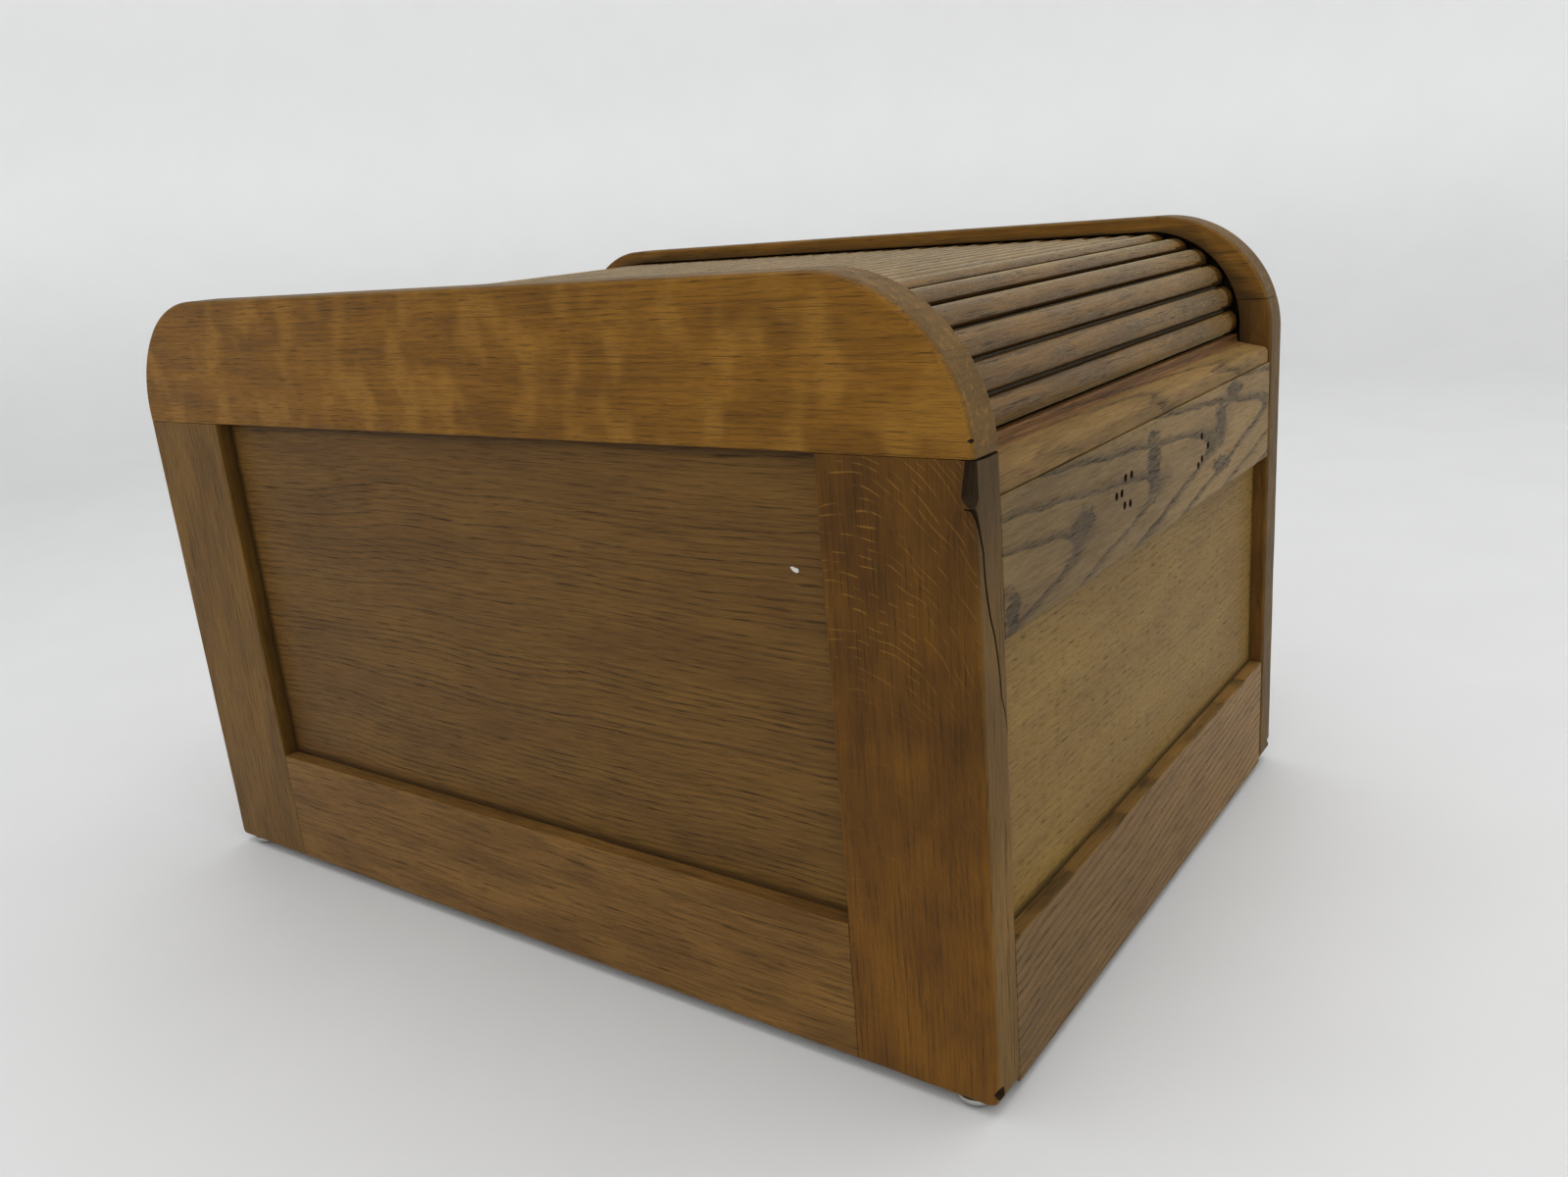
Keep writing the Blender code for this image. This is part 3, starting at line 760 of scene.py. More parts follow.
def make_fleck():
    """A speck of white paint on the left panel."""
    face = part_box("left_panel")[0].x
    middle_y, middle_z = FLECK_PLACE
    points = [(face + level, middle_y + y * MM, middle_z + z * MM)
              for level in FLECK_LEVELS for y, z in FLECK_CORNERS]
    fleck = hull("paint_fleck", points)
    graph = Graph("white_paint")
    graph.surface({"Base Color": (0.62, 0.60, 0.54), "Roughness": 0.7})
    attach(dyed(fleck, graph.material), "box")


def make_back(woods):
    low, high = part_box("back_board")
    outline = within(body_outline(), low.yz, high.yz)
    board = solid("back_board_wood", outline, "YZ", low.x, high.x, BACK_BOARD_ROUND, BACK_BOARD_ROUND)
    mark(board, (1, 0, 0), (0, 0, 1), middle("back_board"))
    place(smooth(dyed(board, woods["back_board"])), "back_board", "box")


def make_inside(woods):
    make_board("bottom_board", "XY", woods["inner_board"])
    make_board("inner_back_board", "XZ", woods["inner_board"], 70)


def glide_profile(low, high):
    """Half of a domed glide's section, from the middle of its foot to the middle of its top."""
    radius = (high.x - low.x) / 2
    dome = high.z - low.z - GLIDE_RIM
    points = [Vector((0, low.z)), Vector((GLIDE_FOOT, low.z))]
    for step in range(1, GLIDE_DOME_STEPS + 1):
        angle = math.pi / 2 * step / GLIDE_DOME_STEPS
        points.append(Vector((GLIDE_FOOT + (radius - GLIDE_FOOT) * math.sin(angle),
                              low.z + dome * (1 - math.cos(angle)))))
    points += arc((radius - GLIDE_EASE, high.z - GLIDE_EASE), GLIDE_EASE, 0, 90, 4)
    points.append(Vector((0, high.z)))
    return points


def make_glides(material):
    for node in ("glide_front_left", "glide_front_right", "glide_rear_left", "glide_rear_right"):
        glide = turned(node + "_nail", glide_profile(*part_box(node)), GLIDE_STEPS, middle(node).xy)
        place(smooth(dyed(glide, material)), node, "box")


# ---------------------------------------------------------------- tambour

def path_pose(run):
    """Place and lean of the tambour's backing, at a run from the foot of the front bend.

    The lean is the turn about X that takes +Z to the way the slat's crown faces.
    """
    if run < 0:
        return Vector((FRONT_BEND_Y - BACKING_RADIUS, BEND_HEIGHT + run)), math.pi / 2
    if run < BEND_RUN:
        lean = math.pi / 2 - run / BACKING_RADIUS
        return bend_point(FRONT_BEND_Y, lean), lean
    run -= BEND_RUN
    if run < FLAT_RUN:
        return Vector((FRONT_BEND_Y + run, BEND_HEIGHT + BACKING_RADIUS)), 0.0
    run -= FLAT_RUN
    if run < BEND_RUN:
        lean = -run / BACKING_RADIUS
        return bend_point(REAR_BEND_Y, lean), lean
    run -= BEND_RUN
    return Vector((REAR_BEND_Y + BACKING_RADIUS, BEND_HEIGHT - run)), -math.pi / 2


def bend_point(centre_y, lean):
    return Vector((centre_y - BACKING_RADIUS * math.sin(lean),
                   BEND_HEIGHT + BACKING_RADIUS * math.cos(lean)))


def slat_pose(number):
    """The matrix from a slat's own coordinates to its place in the closed box."""
    point, lean = path_pose(FIRST_SLAT_START + (number - 0.5) * SLAT_PITCH)
    return Matrix.Translation((0, point.x, point.y)) @ Matrix.Rotation(lean, 4, "X")


def body_of_node(node):
    for body, nodes in frame["record"]["behaviour"]["bodies"].items():
        if node in nodes:
            return body
    return None


def slat_section():
    """Half-round section of a slat, with its back on the first axis."""
    half = SLAT_WIDTH / 2
    rise = SLAT_THICKNESS - SLAT_EDGE
    radius = (half * half + rise * rise) / (2 * rise)
    spread = math.degrees(math.asin(half / radius))
    crown = arc((0, SLAT_THICKNESS - radius), radius, 90 - spread, 90 + spread, SLAT_CROWN_STEPS)
    ease, nick = SLAT_ARRIS, 0.3 * SLAT_ARRIS
    crown[0:1] = [Vector((half, crown[0].y - ease)), crown[0] + Vector((-nick, nick))]
    crown[-1:] = [crown[-1] + Vector((nick, nick)), Vector((-half, crown[-1].y - ease))]
    back = [Vector((-half + ease, 0)), Vector((half - ease, 0)), Vector((half, ease))]
    return back + crown + [Vector((-half, ease))]


def slat_point(x, point, number):
    """A point of a slat's section at x, lowered on the crown by scrubbing and small dents."""
    length, width = SLAT_DENT_SIZE
    where = Vector((x / length, point.x / width, number * 3.7))
    dent = SLAT_DENT * (noise.noise(where) + 0.5 * noise.noise(where * 3.1))
    share = max(0.0, point.y / SLAT_THICKNESS)
    return Vector((x, point.x * (1 - 0.02 * share), point.y - share * (SLAT_SCRUB + dent)))


def point_inside(point, drop):
    """A point of a slat's end moved towards the middle of its section."""
    centre = Vector((point.x, 0, SLAT_CORE))
    towards = centre - point
    return point + towards.normalized() * min(drop, towards.length)


def slat_end(ring, side):
    """The rings that round off a slat's end, outermost last."""
    layers = []
    for step in range(SLAT_END_STEPS + 1):
        angle = math.pi / 2 * step / SLAT_END_STEPS
        shift = Vector((side * SLAT_END_ROUND * (math.sin(angle) - 1), 0, 0))
        drop = SLAT_END_ROUND * (1 - math.cos(angle))
        layers.append([point_inside(point, drop) + shift for point in ring])
    return layers


def slat_bar(name, number):
    """A slat's bar along X, in its own coordinates, with a wavering crown and soft ends."""
    half = INNER_X - SLAT_END_GAP
    section = slat_section()
    layers = []
    for station in range(SLAT_STATIONS + 1):
        x = -half + 2 * half * station / SLAT_STATIONS
        layers.append([slat_point(x, point, number) for point in section])
    return lofted(name, slat_end(layers[0], -1)[::-1] + layers[1:-1] + slat_end(layers[-1], 1))


def slat_out_of_shade(point):
    """How far a slat is out of its painted shade, in its own coordinates: full on the crown, none down
    the flanks between slats and at the ends by the frames.
    """
    crown = clamp((point.z - SLAT_EDGE) / (0.5 * (SLAT_THICKNESS - SLAT_EDGE)))
    end = clamp((INNER_X - SLAT_END_GAP - abs(point.x)) / SLAT_END_SHADE)
    return crown * end


def dull_where_shaded(slat, unshaded, shaded_flank):
    """A slat whose flanks, under the painted shade between slats, have a wood with no shine, so that the
    shade stays dark.
    """
    dyed(slat, unshaded)
    slat.data.materials.append(shaded_flank)
    wear = [item.value for item in slat.data.attributes["wear"].data]
    for face in slat.data.polygons:
        share = sum(wear[index] for index in face.vertices) / len(face.vertices)
        face.material_index = 1 if share < FLANK_SHADE_LIMIT else 0
    return slat


def make_slats(unshaded, shaded_flank):
    reach, half_width = INNER_X + TONGUE_REACH, TONGUE_WIDTH / 2
    low, high = (-reach, -half_width, TONGUE_LOW), (reach, half_width, TONGUE_HIGH)
    for number in range(1, SLAT_COUNT + 1):
        node = "tambour_slat_%02d" % number
        slat = slat_bar(node + "_wood", number)
        carve(slat, [block("tongue", low, high)], "UNION")
        # The wear attribute of a slat holds how far it is out of its painted shade
        mark(slat, (1, 0, 0), (0, 1, 0), shift=SLAT_SHIFT * number, wear=slat_out_of_shade)
        slat.data.transform(slat_pose(number))
        place(smooth(dull_where_shaded(slat, unshaded, shaded_flank)), node, body_of_node(node))


def canvas_sheet(name, low_run, high_run, pose, material):
    """A strip of cloth just under the backs of the slats, from a run along them to another."""
    half = CANVAS_WIDTH / 2
    strip = block(name, (-half, low_run, -CANVAS_GAP - CANVAS_THICKNESS), (half, high_run, -CANVAS_GAP))
    mark(strip, (1, 0, 0), (0, 1, 0))
    strip.data.transform(pose)
    return dyed(strip, material)


def make_canvas(material):
    """The cloth that joins the slats: one sheet under the flat top, a strip under each other slat.

    The strips are narrower than the slats' pitch, so that they clear each other round a bend.
    """
    flat_slats = sorted(node for node in frame["record"]["behaviour"]["bodies"]["tambour_top"]
                        if node.startswith("tambour_slat"))
    first, last = int(flat_slats[0][-2:]), int(flat_slats[-1][-2:])
    edge = SLAT_PITCH / 2 - CANVAS_GAP
    run = (last - first) * SLAT_PITCH
    sheet = canvas_sheet("tambour_canvas_cloth", -edge, run + edge, slat_pose(first), material)
    place(sheet, "tambour_canvas", "tambour_top")
    half_strip = CANVAS_STRIP_WIDTH / 2
    for number in range(1, SLAT_COUNT + 1):
        node = "tambour_slat_%02d" % number
        if node in flat_slats:
            continue
        name = "canvas_strip_%02d" % number
        strip = canvas_sheet(name, -half_strip, half_strip, slat_pose(number), material)
        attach(strip, body_of_node(node))


def lift_rail_section(low, high):
    """Section of the lift rail in (y, z): an upright back and a worn nose that a hand lifts."""
    back, nose, foot = high.y, low.y, low.z
    face = back - SLAT_THICKNESS
    ease, hollow = LIFT_BACK_EASE, LIFT_HOLLOW
    top = arc((back - ease, high.z - ease), ease, 0, 90, 3)
    top += arc((face + ease, high.z - ease), ease, 90, 180, 3)
    dip = arc((face - hollow, foot + LIFT_NOSE_HEIGHT + 1 * MM), hollow, 0, -80, 4)
    upper = arc((nose + LIFT_NOSE_RADIUS, foot + LIFT_NOSE_SHOULDER - LIFT_NOSE_RADIUS), LIFT_NOSE_RADIUS,
                90 + LIFT_NOSE_SLOPE, 180, 8)
    lower = arc((nose + LIFT_EDGE_RADIUS, foot + LIFT_EDGE_RADIUS), LIFT_EDGE_RADIUS, 180, 270, 4)
    return [Vector((back, foot))] + top + dip + upper + lower


def lift_wear(face):
    """Wear on the lift rail: full on the nose, none on the upright behind it."""
    start, length = LIFT_WEAR
    return lambda point: clamp((face - start - point.y) / length)


def make_lift_rail(material):
    low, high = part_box("lift_rail")
    half = INNER_X - LIFT_END_GAP
    section = densify(lift_rail_section(low, high), LIFT_SPACING)
    rail = solid("lift_rail_wood", section, "YZ", -half, half, LIFT_EDGE_RADIUS, LIFT_EDGE_RADIUS)
    tongue = block("tongue", (low.x, high.y - TONGUE_HIGH, low.z + LIFT_TONGUE_LOW),
                   (high.x, high.y - TONGUE_LOW, low.z + LIFT_TONGUE_HIGH))
    carve(rail, [tongue], "UNION")
    mark(rail, (1, 0, 0), (0, 1, 0), (0, high.y, low.z), wear=lift_wear(high.y - SLAT_THICKNESS))
    place(smooth(dyed(rail, material)), "lift_rail", "lift_rail")


# ---------------------------------------------------------------- material graphs

class Graph:
    """The nodes of one material. A value is a number, a colour, a vector or a node's socket."""

    def __init__(self, name):
        self.material = bpy.data.materials.new(name)
        self.material.use_nodes = True
        self.tree = self.material.node_tree
        self.shader = self.tree.nodes["Principled BSDF"]

    def feed(self, socket, value):
        if isinstance(value, bpy.types.NodeSocket):
            self.tree.links.new(value, socket)
        elif isinstance(value, tuple) and socket.type == "RGBA":
            socket.default_value = (*value[:3], 1.0)
        else:
            socket.default_value = value

    def add(self, kind, inputs=None, **settings):
        node = self.tree.nodes.new(kind)
        for key, value in settings.items():
            setattr(node, key, value)
        for key, value in (inputs or {}).items():
            self.feed(node.inputs[key], value)
        return node

    def surface(self, values):
        """Sets or links the shader's sockets, by their names."""
        for name, value in values.items():
            self.feed(self.shader.inputs[name], value)

    def attribute(self, name, output="Fac"):
        return self.add("ShaderNodeAttribute", attribute_name=name).outputs[output]

    def own_place(self):
        """A place in the object's own coordinates, in metres."""
        return self.add("ShaderNodeTexCoord").outputs["Object"]

    def math(self, operation, first, second=0.0, third=0.0):
        node = self.add("ShaderNodeMath", {0: first, 1: second, 2: third}, operation=operation)
        return node.outputs[0]

    def plus(self, first, second):
        return self.math("ADD", first, second)

    def less(self, first, second):
        return self.math("SUBTRACT", first, second)

    def times(self, first, second):
        return self.math("MULTIPLY", first, second)

    def times_plus(self, first, factor, extra):
        return self.math("MULTIPLY_ADD", first, factor, extra)

    def over(self, first, second):
        return self.math("DIVIDE", first, second)

    def length(self, x, y):
        return self.math("SQRT", self.plus(self.times(x, x), self.times(y, y)))

    def pulse(self, phase, risen, gone):
        """Up to 1 by the time it has risen, then fading until it is gone; the phase runs from 0 to 1."""
        fade = self.less(1.0, self.rise(phase, 0.08, gone))
        return self.times(self.rise(phase, 0.0, risen), fade)

    def scaled(self, vector, factors):
        """A vector times a factor on each axis."""
        node = self.add("ShaderNodeVectorMath", {0: vector, 1: factors}, operation="MULTIPLY")
        return node.outputs[0]

    def noise(self, vector, detail=2.0, roughness=0.5):
        inputs = {"Vector": vector, "Scale": 1.0, "Detail": detail, "Roughness": roughness}
        return self.add("ShaderNodeTexNoise", inputs).outputs["Fac"]

    def figure(self, vector, lengths, detail=2.0, roughness=0.5):
        """Noise drawn out along the grain: a place counted in lengths along it and across it."""
        along, across = lengths
        return self.noise(self.scaled(vector, (1 / along, 1 / across, 1 / across)), detail, roughness)

    def rise(self, value, low, high):
        """0 below low, 1 above high, smooth between them."""
        inputs = {"Value": value, "From Min": low, "From Max": high}
        return self.add("ShaderNodeMapRange", inputs, interpolation_type="SMOOTHSTEP").outputs[0]

    def mix(self, share, first, second, blend="MIX"):
        node = self.add("ShaderNodeMix", data_type="RGBA", blend_type=blend)
        self.feed(node.inputs[0], share)
        self.feed(node.inputs[6], first)
        self.feed(node.inputs[7], second)
        return node.outputs[2]

    def tint(self, colour, other, share, strength):
        """A colour taken towards another, by a share times a strength."""
        return self.mix(self.times(share, strength), colour, other)

    def parts(self, vector):
        return self.add("ShaderNodeSeparateXYZ", {0: vector}).outputs

    def join(self, x, y, z):
        return self.add("ShaderNodeCombineXYZ", {0: x, 1: y, 2: z}).outputs[0]

    def bump(self, height, distance):
        return self.add("ShaderNodeBump", {"Height": height, "Distance": distance}).outputs[0]


STREAK_SIZE = (38.0, 1.1)
BARE_SIZE = (18.0, 3.0)
WORN_DARK = 0.62
DIRT_AND_SHADE = 0.78
OPENING_SHADE_AND_DIRT = 0.72
THREAD_GAP = 0.9

# Each oak: colours are linear, lengths are millimetres from the board's middle.
#   ring: distance between growth rings; pith: how far (across, through) the tree's middle lies;
#   slope and tilt: how fast the rings run out along the board, and how askew; start: where they start;
#   ray_arc: middle and curve of the arcs that ray flecks follow, and how far down they reach;
#   sway and ripple: how far the rings wander, over the lengths (along, across) that follow;
#   smudges: dark patches of figure, as (x, y, reach, reach);
#   blotch: how soft the stain's blotches are; streak: how far fine fibres break them up;
#   uneven: how much one year's ring differs from another's;
#   opening: half the length and height of the panel's opening, with painted shade and some dirt along its
#       edge;
#   ends: painted light along the board, as brightness at the low end of the grain and at its high end,
#       and half the board's length;
#   bands, hatch, pores, rays, patch, wear, the slats' painted shade with its grime, and sheen are
#   strengths, from 0 to 1.
OAK = dict(
    light=(0.17, 0.08, 0.02), dark=(0.085, 0.036, 0.010), ink=(0.020, 0.011, 0.005),
    ray=(0.30, 0.145, 0.022), worn=(0.125, 0.076, 0.024),
    ring=2.8, pith=(300.0, 0.0), slope=0.0, tilt=0.0, start=0.0,
    sway=7.0, sway_size=(210.0, 80.0), ripple=0.5, ripple_size=(24.0, 16.0),
    bands=0.35, band_width=0.6, uneven=0.6, hatch=0.5, pores=0.6, pore_size=(13.0, 0.55), smudges=(),
    rays=0.0, ray_arc=(18.0, 0.017, 20.0), ray_gap=3.8, patch=0.0, patch_size=(10.0, 26.0),
    blotch=0.6, blotch_size=(60.0, 16.0), streak=0.9, ends=None, wear=0.8, grime_and_shade=0.0, opening=None,
    roughness=0.46, gloss=0.16, sheen=0.05, height=0.12,
)


def growth_rings(graph, look, spot):
    """1 in the dark early wood of each growth ring, fading before the next."""
    x, y, z = graph.parts(spot)
    sway = graph.figure(spot, look["sway_size"], 1.0)
    ripple = graph.figure(spot, look["ripple_size"], 1.5)
    across = graph.less(y, look["pith"][0])
    across = graph.times_plus(x, -look["tilt"], across)
    through = graph.less(z, look["pith"][1])
    radius = graph.times_plus(x, look["slope"], graph.length(across, through))
    radius = graph.times_plus(sway, 2 * look["sway"], radius)
    radius = graph.times_plus(ripple, 2 * look["ripple"], radius)
    rings = graph.over(graph.plus(radius, look["start"]), look["ring"])
    band = graph.pulse(graph.math("FRACT", rings), 0.07, look["band_width"])
    number = {"W": graph.math("FLOOR", rings)}
    year = graph.add("ShaderNodeTexWhiteNoise", number, noise_dimensions="1D").outputs[0]
    return graph.times(band, graph.times_plus(year, look["uneven"], 1 - look["uneven"]))


def pore_dashes(graph, look, spot):
    """Long dark dashes along the grain, in two sizes."""
    length, width = look["pore_size"]
    long_ones = graph.rise(graph.figure(spot, (length, width), 1.0), 0.54, 0.66)
    short_ones = graph.rise(graph.figure(spot, (length * 0.35, width * 0.45), 1.0), 0.56, 0.68)
    return graph.math("MAXIMUM", long_ones, graph.times(short_ones, 0.6))


def figure_smudge(graph, spot, smudge):
    """1 inside a dark patch where a growth ring meets the face flat, given as (x, y, reach, reach)."""
    middle_x, middle_y, reach_x, reach_y = smudge
    warp = graph.figure(spot, (7.0, 4.0), 2.0)
    x, y, _ = graph.parts(spot)
    off_x = graph.over(graph.less(x, middle_x), reach_x)
    off_y = graph.over(graph.less(y, middle_y), reach_y)
    distance = graph.times_plus(graph.less(warp, 0.5), 1.6, graph.length(off_x, off_y))
    return graph.less(1.0, graph.rise(distance, 0.65, 1.15))


def ray_flecks(graph, look, spot):
    """Thin bright curved lines that cross the grain, here and there."""
    x, y, z = graph.parts(spot)
    middle_y, curve, lowest = look["ray_arc"]
    bend = graph.figure(spot, (22.0, 22.0), 1.0)
    from_middle = graph.less(y, middle_y)
    level = graph.times_plus(graph.times(from_middle, from_middle), curve, x)
    level = graph.times_plus(bend, 11.0, level)
    line = graph.pulse(graph.math("FRACT", graph.over(level, look["ray_gap"])), 0.08, 0.22)
    along_line = graph.join(graph.over(level, 4.0), graph.over(y, 7.0), z)
    here = graph.rise(graph.noise(along_line, 1.0), 0.46, 0.63)
    region = graph.times_plus(graph.rise(x, lowest, lowest + 45.0), 0.85, 0.15)
    return graph.times(graph.times(line, here), region)


def stain(graph, look, spot, streak):
    """How light the wood is, from 0 to 1, and its colour: slow blotches and fine fibre streaks."""
    blotch = graph.figure(spot, look["blotch_size"], 3.0)
    tone = graph.times_plus(graph.less(streak, 0.5), look["streak"], blotch)
    share = graph.rise(tone, 0.5 - 0.5 * look["blotch"], 0.5 + 0.5 * look["blotch"])
    colour = graph.mix(share, look["dark"], look["light"])
    if look["patch"]:
        soft = graph.figure(spot, look["patch_size"], 1.5)
        colour = graph.tint(colour, look["ray"], graph.rise(soft, 0.46, 0.66), look["patch"])
    if look["rays"]:
        colour = graph.tint(colour, look["ray"], ray_flecks(graph, look, spot), look["rays"])
    return share, colour


def dirtied_and_shaded(graph, look, spot, worn, colour):
    """A colour under dirt and painted shade, in the hollows and gaps where shade falls."""
    # The dirt attribute holds dirt and, on the side frames, painted shade by the groove and round the
    # openings
    colour = graph.tint(colour, look["ink"], graph.attribute("dirt"), DIRT_AND_SHADE)
    # Painted shade, with some grime, on the slats' flanks and ends, wherever the wear attribute falls
    # short of 1
    if look["grime_and_shade"]:
        colour = graph.tint(colour, look["ink"], graph.less(1.0, worn), look["grime_and_shade"])
    # Painted shade, with some dirt, along the edge of a panel's opening, under the frame round it
    if look["opening"]:
        x, y, _ = graph.parts(spot)
        half_x, half_y = look["opening"]
        edge = graph.math("MINIMUM", graph.less(half_x, graph.math("ABSOLUTE", x)),
                          graph.less(half_y, graph.math("ABSOLUTE", y)))
        near = graph.less(1.0, graph.rise(edge, 0.5, 5.0))
        colour = graph.tint(colour, look["ink"], near, OPENING_SHADE_AND_DIRT)
    return colour


def bared(graph, look, share, worn_share, colour):
    """A colour with its worn places bare."""
    dark = tuple(WORN_DARK * value for value in look["worn"])
    return graph.mix(worn_share, colour, graph.mix(share, dark, look["worn"]))


def lit_along(graph, look, spot, colour):
    """A colour with painted light: brighter at one end of the board than at the other, as the light falls
    along it.
    """
    low_gain, high_gain, half_length = look["ends"]
    along = graph.rise(graph.parts(spot)[0], -half_length, half_length)
    gain = graph.mix(along, (low_gain,) * 3, (high_gain,) * 3)
    return graph.mix(1.0, colour, gain, "MULTIPLY")


def oak(name, **changes):
    """Aged stained oak: growth rings, pores, ray flecks, stain blotches, wear and dirt, with painted
    shade in hollows and gaps and painted light along some boards.
    """
    look = {**OAK, **changes}
    graph = Graph(name)
    spot = graph.attribute("grain", "Vector")
    # On the slats the wear attribute holds how far they are out of their painted shade
    worn = graph.attribute("wear")
    early = growth_rings(graph, look, spot)
    dashes = pore_dashes(graph, look, spot)
    streak = graph.figure(spot, STREAK_SIZE, 3.0, 0.6)
    bare = graph.figure(spot, BARE_SIZE, 3.0)
    worn_share = graph.times(graph.times(worn, look["wear"]), graph.rise(bare, 0.18, 0.5))
    share, colour = stain(graph, look, spot, streak)
    colour = bared(graph, look, share, worn_share, colour)
    if look["ends"]:
        colour = lit_along(graph, look, spot, colour)

    # Rings and pores are dark in worn and unworn wood alike
    for smudge in look["smudges"]:
        early = graph.math("MAXIMUM", early, figure_smudge(graph, spot, smudge))
    hatch = graph.times(early, graph.times_plus(dashes, look["hatch"], 1 - look["hatch"]))
    colour = graph.tint(colour, look["ink"], hatch, look["bands"])
    pores = graph.times(dashes, graph.times_plus(early, 0.5, 0.5))
    colour = graph.tint(colour, look["ink"], pores, look["pores"])

    rough = graph.times_plus(pores, 0.2, look["roughness"])
    rough = graph.times_plus(graph.less(bare, 0.5), 0.2, rough)
    level = graph.less(graph.times(streak, 0.5), graph.times_plus(early, 0.3, pores))
    graph.surface({
        "Base Color": dirtied_and_shaded(graph, look, spot, worn, colour),
        "Roughness": graph.times_plus(worn_share, 0.1, rough),
        "Specular IOR Level": look["gloss"],
        "Specular Tint": (1.0, 0.88, 0.62),
        "Sheen Weight": look["sheen"],
        "Sheen Roughness": 0.2,
        "Sheen Tint": (1.0, 0.86, 0.48),
        "Normal": graph.bump(level, look["height"] * MM),
    })
    return graph.material


def shaded_raw_wood():
    """Broken or hidden oak, dark with old dirt and painted shade."""
    graph = Graph("shaded_raw_oak")
    fibre = graph.figure(graph.attribute("grain", "Vector"), (9.0, 0.6), 3.0)
    graph.surface({
        "Base Color": graph.mix(fibre, (0.008, 0.005, 0.002), (0.042, 0.025, 0.012)),
        "Roughness": 0.9,
        "Specular IOR Level": 0.1,
        "Normal": graph.bump(fibre, 0.3 * MM),
    })
    return graph.material


def canvas_material():
    """Coarse unbleached linen, gone brown with age."""
    graph = Graph("canvas_cloth")
    spot = graph.attribute("grain", "Vector")
    x, y, _ = graph.parts(spot)
    threads = [graph.math("SINE", graph.times(value, 2 * math.pi / THREAD_GAP)) for value in (x, y)]
    weave = graph.times(*threads)
    dirt = graph.noise(spot, 4.0)
    colour = graph.mix(graph.rise(weave, -0.6, 0.9), (0.12, 0.09, 0.055), (0.25, 0.2, 0.13))
    colour = graph.mix(graph.rise(dirt, 0.4, 0.7), colour, (0.09, 0.065, 0.04))
    graph.surface({"Base Color": colour, "Roughness": 0.92, "Normal": graph.bump(weave, 0.15 * MM)})
    return graph.material


def steel_material():
    """Nickel-plated steel, a little scuffed, with painted shade where it nears the floor."""
    graph = Graph("nickel_steel")
    spot = graph.own_place()
    scuff = graph.noise(graph.scaled(spot, (900.0, 900.0, 900.0)), 4.0)
    bright = graph.mix(scuff, (0.34, 0.34, 0.32), (0.62, 0.61, 0.58))
    # Painted shade: the dome goes dark towards the floor, standing in for the shadow it reflects there
    unshaded = graph.rise(graph.parts(spot)[2], 0.8 * MM, 2.8 * MM)
    graph.surface({
        "Base Color": graph.mix(unshaded, (0.05, 0.048, 0.042), bright),
        "Roughness": graph.times_plus(scuff, 0.2, 0.08),
        "Metallic": 1.0,
        "Normal": graph.bump(scuff, 0.05 * MM),
    })
    return graph.material


# ---------------------------------------------------------------- the woods

STRAIGHT = dict(pith=(600.0, 0.0), ring=2.4, sway=5.0, ripple=0.35)
BROWN = dict(light=(0.205, 0.102, 0.024), dark=(0.115, 0.054, 0.013))
GREY = dict(ink=(0.024, 0.015, 0.006), worn=(0.24, 0.15, 0.050))
GOLDEN = dict(STRAIGHT, bands=0.2, pores=0.62, pore_size=(11.0, 0.45), patch=0.5, patch_size=(20.0, 30.0),
              blotch=0.75)
FLECKED = dict(STRAIGHT, bands=0.1, pores=0.5, rays=0.7, streak=0.5, blotch_size=(40.0, 26.0))
PANEL = dict(light=(0.158, 0.080, 0.018), dark=(0.107, 0.051, 0.013), pith=(420.0, 0.0), ring=3.0,
             sway=12.0, sway_size=(150.0, 120.0), ripple=1.0, ripple_size=(26.0, 16.0), bands=0.7,
             uneven=0.85, hatch=0.4, pores=0.75, pore_size=(18.0, 0.6))
# The slats' grime is painted shade, with some dirt, down their flanks and at their ends
SLAT = dict(light=(0.185, 0.088, 0.013), dark=(0.085, 0.039, 0.006), bands=0.75, ring=3.0,
            pith=(0.0, -900.0), slope=0.02, pores=0.85, pore_size=(15.0, 0.6), wear=0.0, grime_and_shade=0.97)

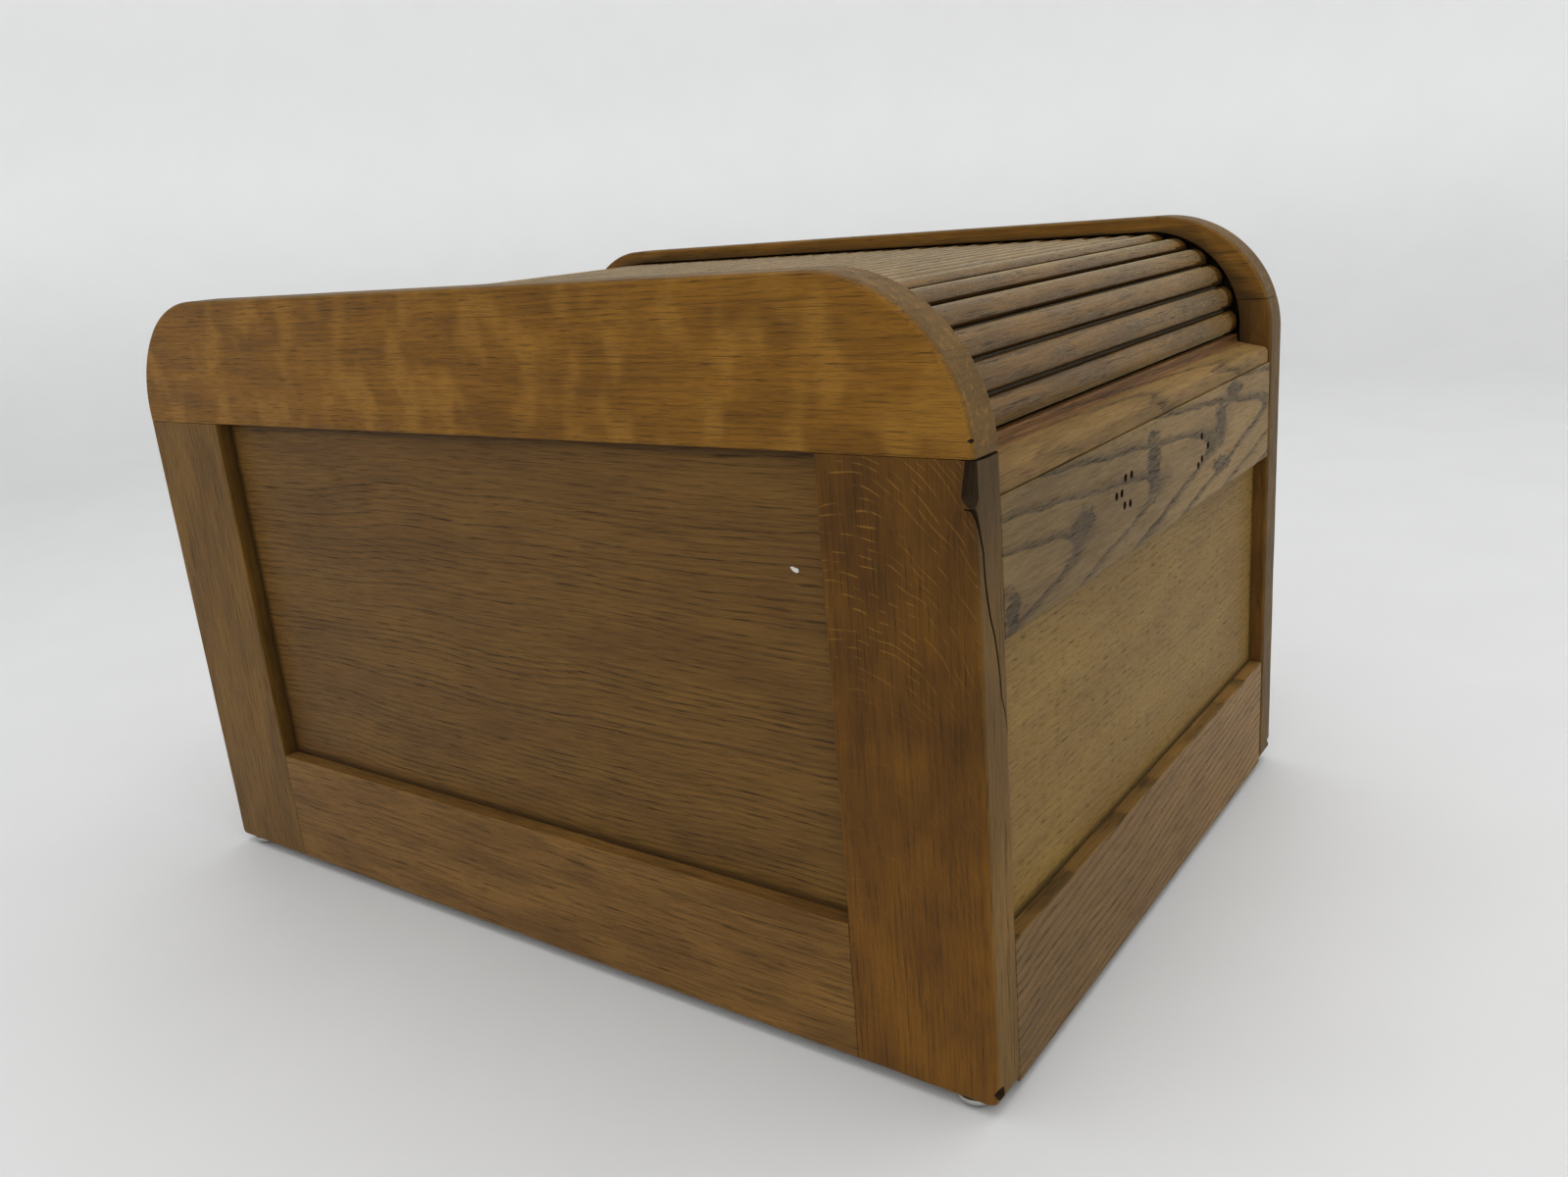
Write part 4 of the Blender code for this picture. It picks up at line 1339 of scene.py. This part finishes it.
WOODS = {
    "left_top_rail": dict(GOLDEN, light=(0.23, 0.100, 0.010), dark=(0.122, 0.051, 0.006)),
    "right_top_rail": dict(GOLDEN, light=(0.26, 0.120, 0.018), dark=(0.135, 0.060, 0.010), patch=0.1),
    "left_front_stile": dict(FLECKED, light=(0.135, 0.056, 0.006), dark=(0.068, 0.026, 0.004),
                             worn=(0.16, 0.090, 0.022), ends=(1.34, 0.9, 95.0)),
    "right_front_stile": dict(FLECKED, light=(0.19, 0.086, 0.016), dark=(0.10, 0.043, 0.009), rays=0.15),
    "left_rear_stile": dict(STRAIGHT, light=(0.18, 0.090, 0.016), dark=(0.10, 0.048, 0.009),
                            bands=0.12, pores=0.6),
    "right_rear_stile": dict(STRAIGHT, light=(0.165, 0.078, 0.016), dark=(0.09, 0.04, 0.009),
                             bands=0.12, pores=0.6),
    "left_bottom_rail": dict(STRAIGHT, **BROWN, bands=0.25, pores=0.7),
    "right_bottom_rail": dict(STRAIGHT, **BROWN, bands=0.4, pores=0.7, blotch_size=(110.0, 12.0)),
    "left_panel": dict(PANEL, opening=(180.0, 90.0)),
    "right_panel": dict(PANEL, opening=(180.0, 98.0)),
    "front_top_rail": dict(GREY, light=(0.245, 0.153, 0.054), dark=(0.140, 0.084, 0.029), ring=11.0,
                           pith=(-2.0, 1.75), slope=0.14, tilt=0.05, start=4.2, sway=1.6,
                           sway_size=(34.0, 24.0), ripple=0.8, ripple_size=(12.0, 7.0), bands=1.0,
                           band_width=0.42, uneven=0.25, hatch=0.35, pores=0.4, pore_size=(8.0, 0.6),
                           ends=(0.76, 1.14, 156.0), smudges=RAIL_SMUDGES),
    "front_panel": dict(STRAIGHT, light=(0.27, 0.163, 0.035), dark=(0.196, 0.109, 0.023), bands=0.16,
                        pores=0.7, pore_size=(7.0, 0.5), blotch=0.8, opening=(156.0, 57.5)),
    "front_bottom_rail": dict(GREY, light=(0.265, 0.142, 0.036), dark=(0.165, 0.086, 0.025), ring=4.2,
                              pith=(-52.0, 1086.0), slope=0.02, tilt=0.1, sway=8.0,
                              sway_size=(110.0, 60.0), ripple_size=(16.0, 7.0), bands=0.95,
                              band_width=0.5, uneven=0.4, hatch=0.35, blotch=0.95, pores=0.5,
                              ends=(0.76, 1.1, 156.0)),
    "back_board": dict(BROWN, bands=0.5, ring=6.0, pith=(0.0, -50.0), slope=0.12),
    "inner_board": dict(light=(0.34, 0.24, 0.12), dark=(0.25, 0.165, 0.08), bands=0.3, pores=0.3,
                        ring=6.0, pith=(0.0, -60.0), slope=0.05, roughness=0.65),
    "slat": dict(SLAT, gloss=0.32, roughness=0.42, sheen=0.9),
    # The slats' flanks: the same oak with no shine, so that their painted shade stays dark
    "slat_shaded_flank": dict(SLAT, gloss=0.0, sheen=0.0),
    "lift_rail": dict(light=(0.195, 0.087, 0.024), dark=(0.10, 0.044, 0.013), worn=(0.24, 0.141, 0.042),
                      wear=1.0, bands=0.9, ring=5.0, pith=(-14.0, 2.0), slope=0.05, start=2.0, sway=1.5,
                      sway_size=(60.0, 12.0), band_width=0.4),
}


def make_woods():
    """One oak for each kind of board."""
    woods = {"shaded_raw": shaded_raw_wood()}
    for name, look in WOODS.items():
        woods[name] = oak(name + "_oak", **look)
    return woods


# ---------------------------------------------------------------- studio

def make_camera():
    data = bpy.data.cameras.new("camera")
    data.lens = CAMERA_LENS
    data.sensor_width = SENSOR_WIDTH
    data.clip_start = 0.01
    camera = bpy.data.objects.new("camera", data)
    camera.location = CAMERA_PLACE
    camera.rotation_euler = [math.radians(angle) for angle in CAMERA_TURN]
    bpy.context.scene.collection.objects.link(camera)
    bpy.context.scene.camera = camera


def make_floor():
    """A pale round floor that curves up into a plain wall, far enough out for every view."""
    profile = [Vector((0.0, 0.0)), Vector((FLOOR_RADIUS, 0.0))]
    profile += arc((FLOOR_RADIUS, WALL_BEND), WALL_BEND, 270, 360, 14)[1:]
    profile.append(Vector((FLOOR_RADIUS + WALL_BEND, WALL_HEIGHT)))
    floor = turned("floor", profile, 96)
    floor.data.shade_smooth()
    graph = Graph("pale_floor")
    spot = graph.own_place()
    mottle = graph.noise(graph.scaled(spot, (9.0, 9.0, 9.0)), 4.0)
    low = graph.mix(mottle, (0.64, 0.64, 0.635), (0.69, 0.69, 0.685))
    high = graph.mix(mottle, (0.81, 0.81, 0.805), (0.85, 0.85, 0.845))
    wall = graph.rise(graph.parts(spot)[2], 0.0, 0.5)
    graph.surface({"Base Color": graph.mix(wall, low, high), "Roughness": 0.6})
    dyed(floor, graph.material)


def make_light(name, spot, size, power, colour):
    data = bpy.data.lights.new(name, "AREA")
    data.shape = "DISK"
    data.size = size
    data.energy = power
    data.color = colour
    light = bpy.data.objects.new(name, data)
    light.location = spot
    light.rotation_euler = (Vector(spot) - Vector(LIGHT_TARGET)).to_track_quat("Z", "Y").to_euler()
    bpy.context.scene.collection.objects.link(light)


def make_studio():
    make_camera()
    make_floor()
    for light in LIGHTS:
        make_light(*light)
    world = bpy.data.worlds.new("studio")
    world.use_nodes = True
    background = world.node_tree.nodes["Background"]
    background.inputs["Color"].default_value = SKY_COLOUR
    background.inputs["Strength"].default_value = SKY_STRENGTH
    bpy.context.scene.world = world
    bpy.context.scene.view_settings.view_transform = "Standard"


# ---------------------------------------------------------------- the whole object

def main():
    make_studio()
    woods = make_woods()
    cloth = canvas_material()
    for side in ("left", "right"):
        make_side_frame(side, woods)
    make_front(woods)
    make_fleck()
    make_back(woods)
    make_inside(woods)
    make_glides(steel_material())
    make_slats(woods["slat"], woods["slat_shaded_flank"])
    make_canvas(cloth)
    make_lift_rail(woods["lift_rail"])


main()
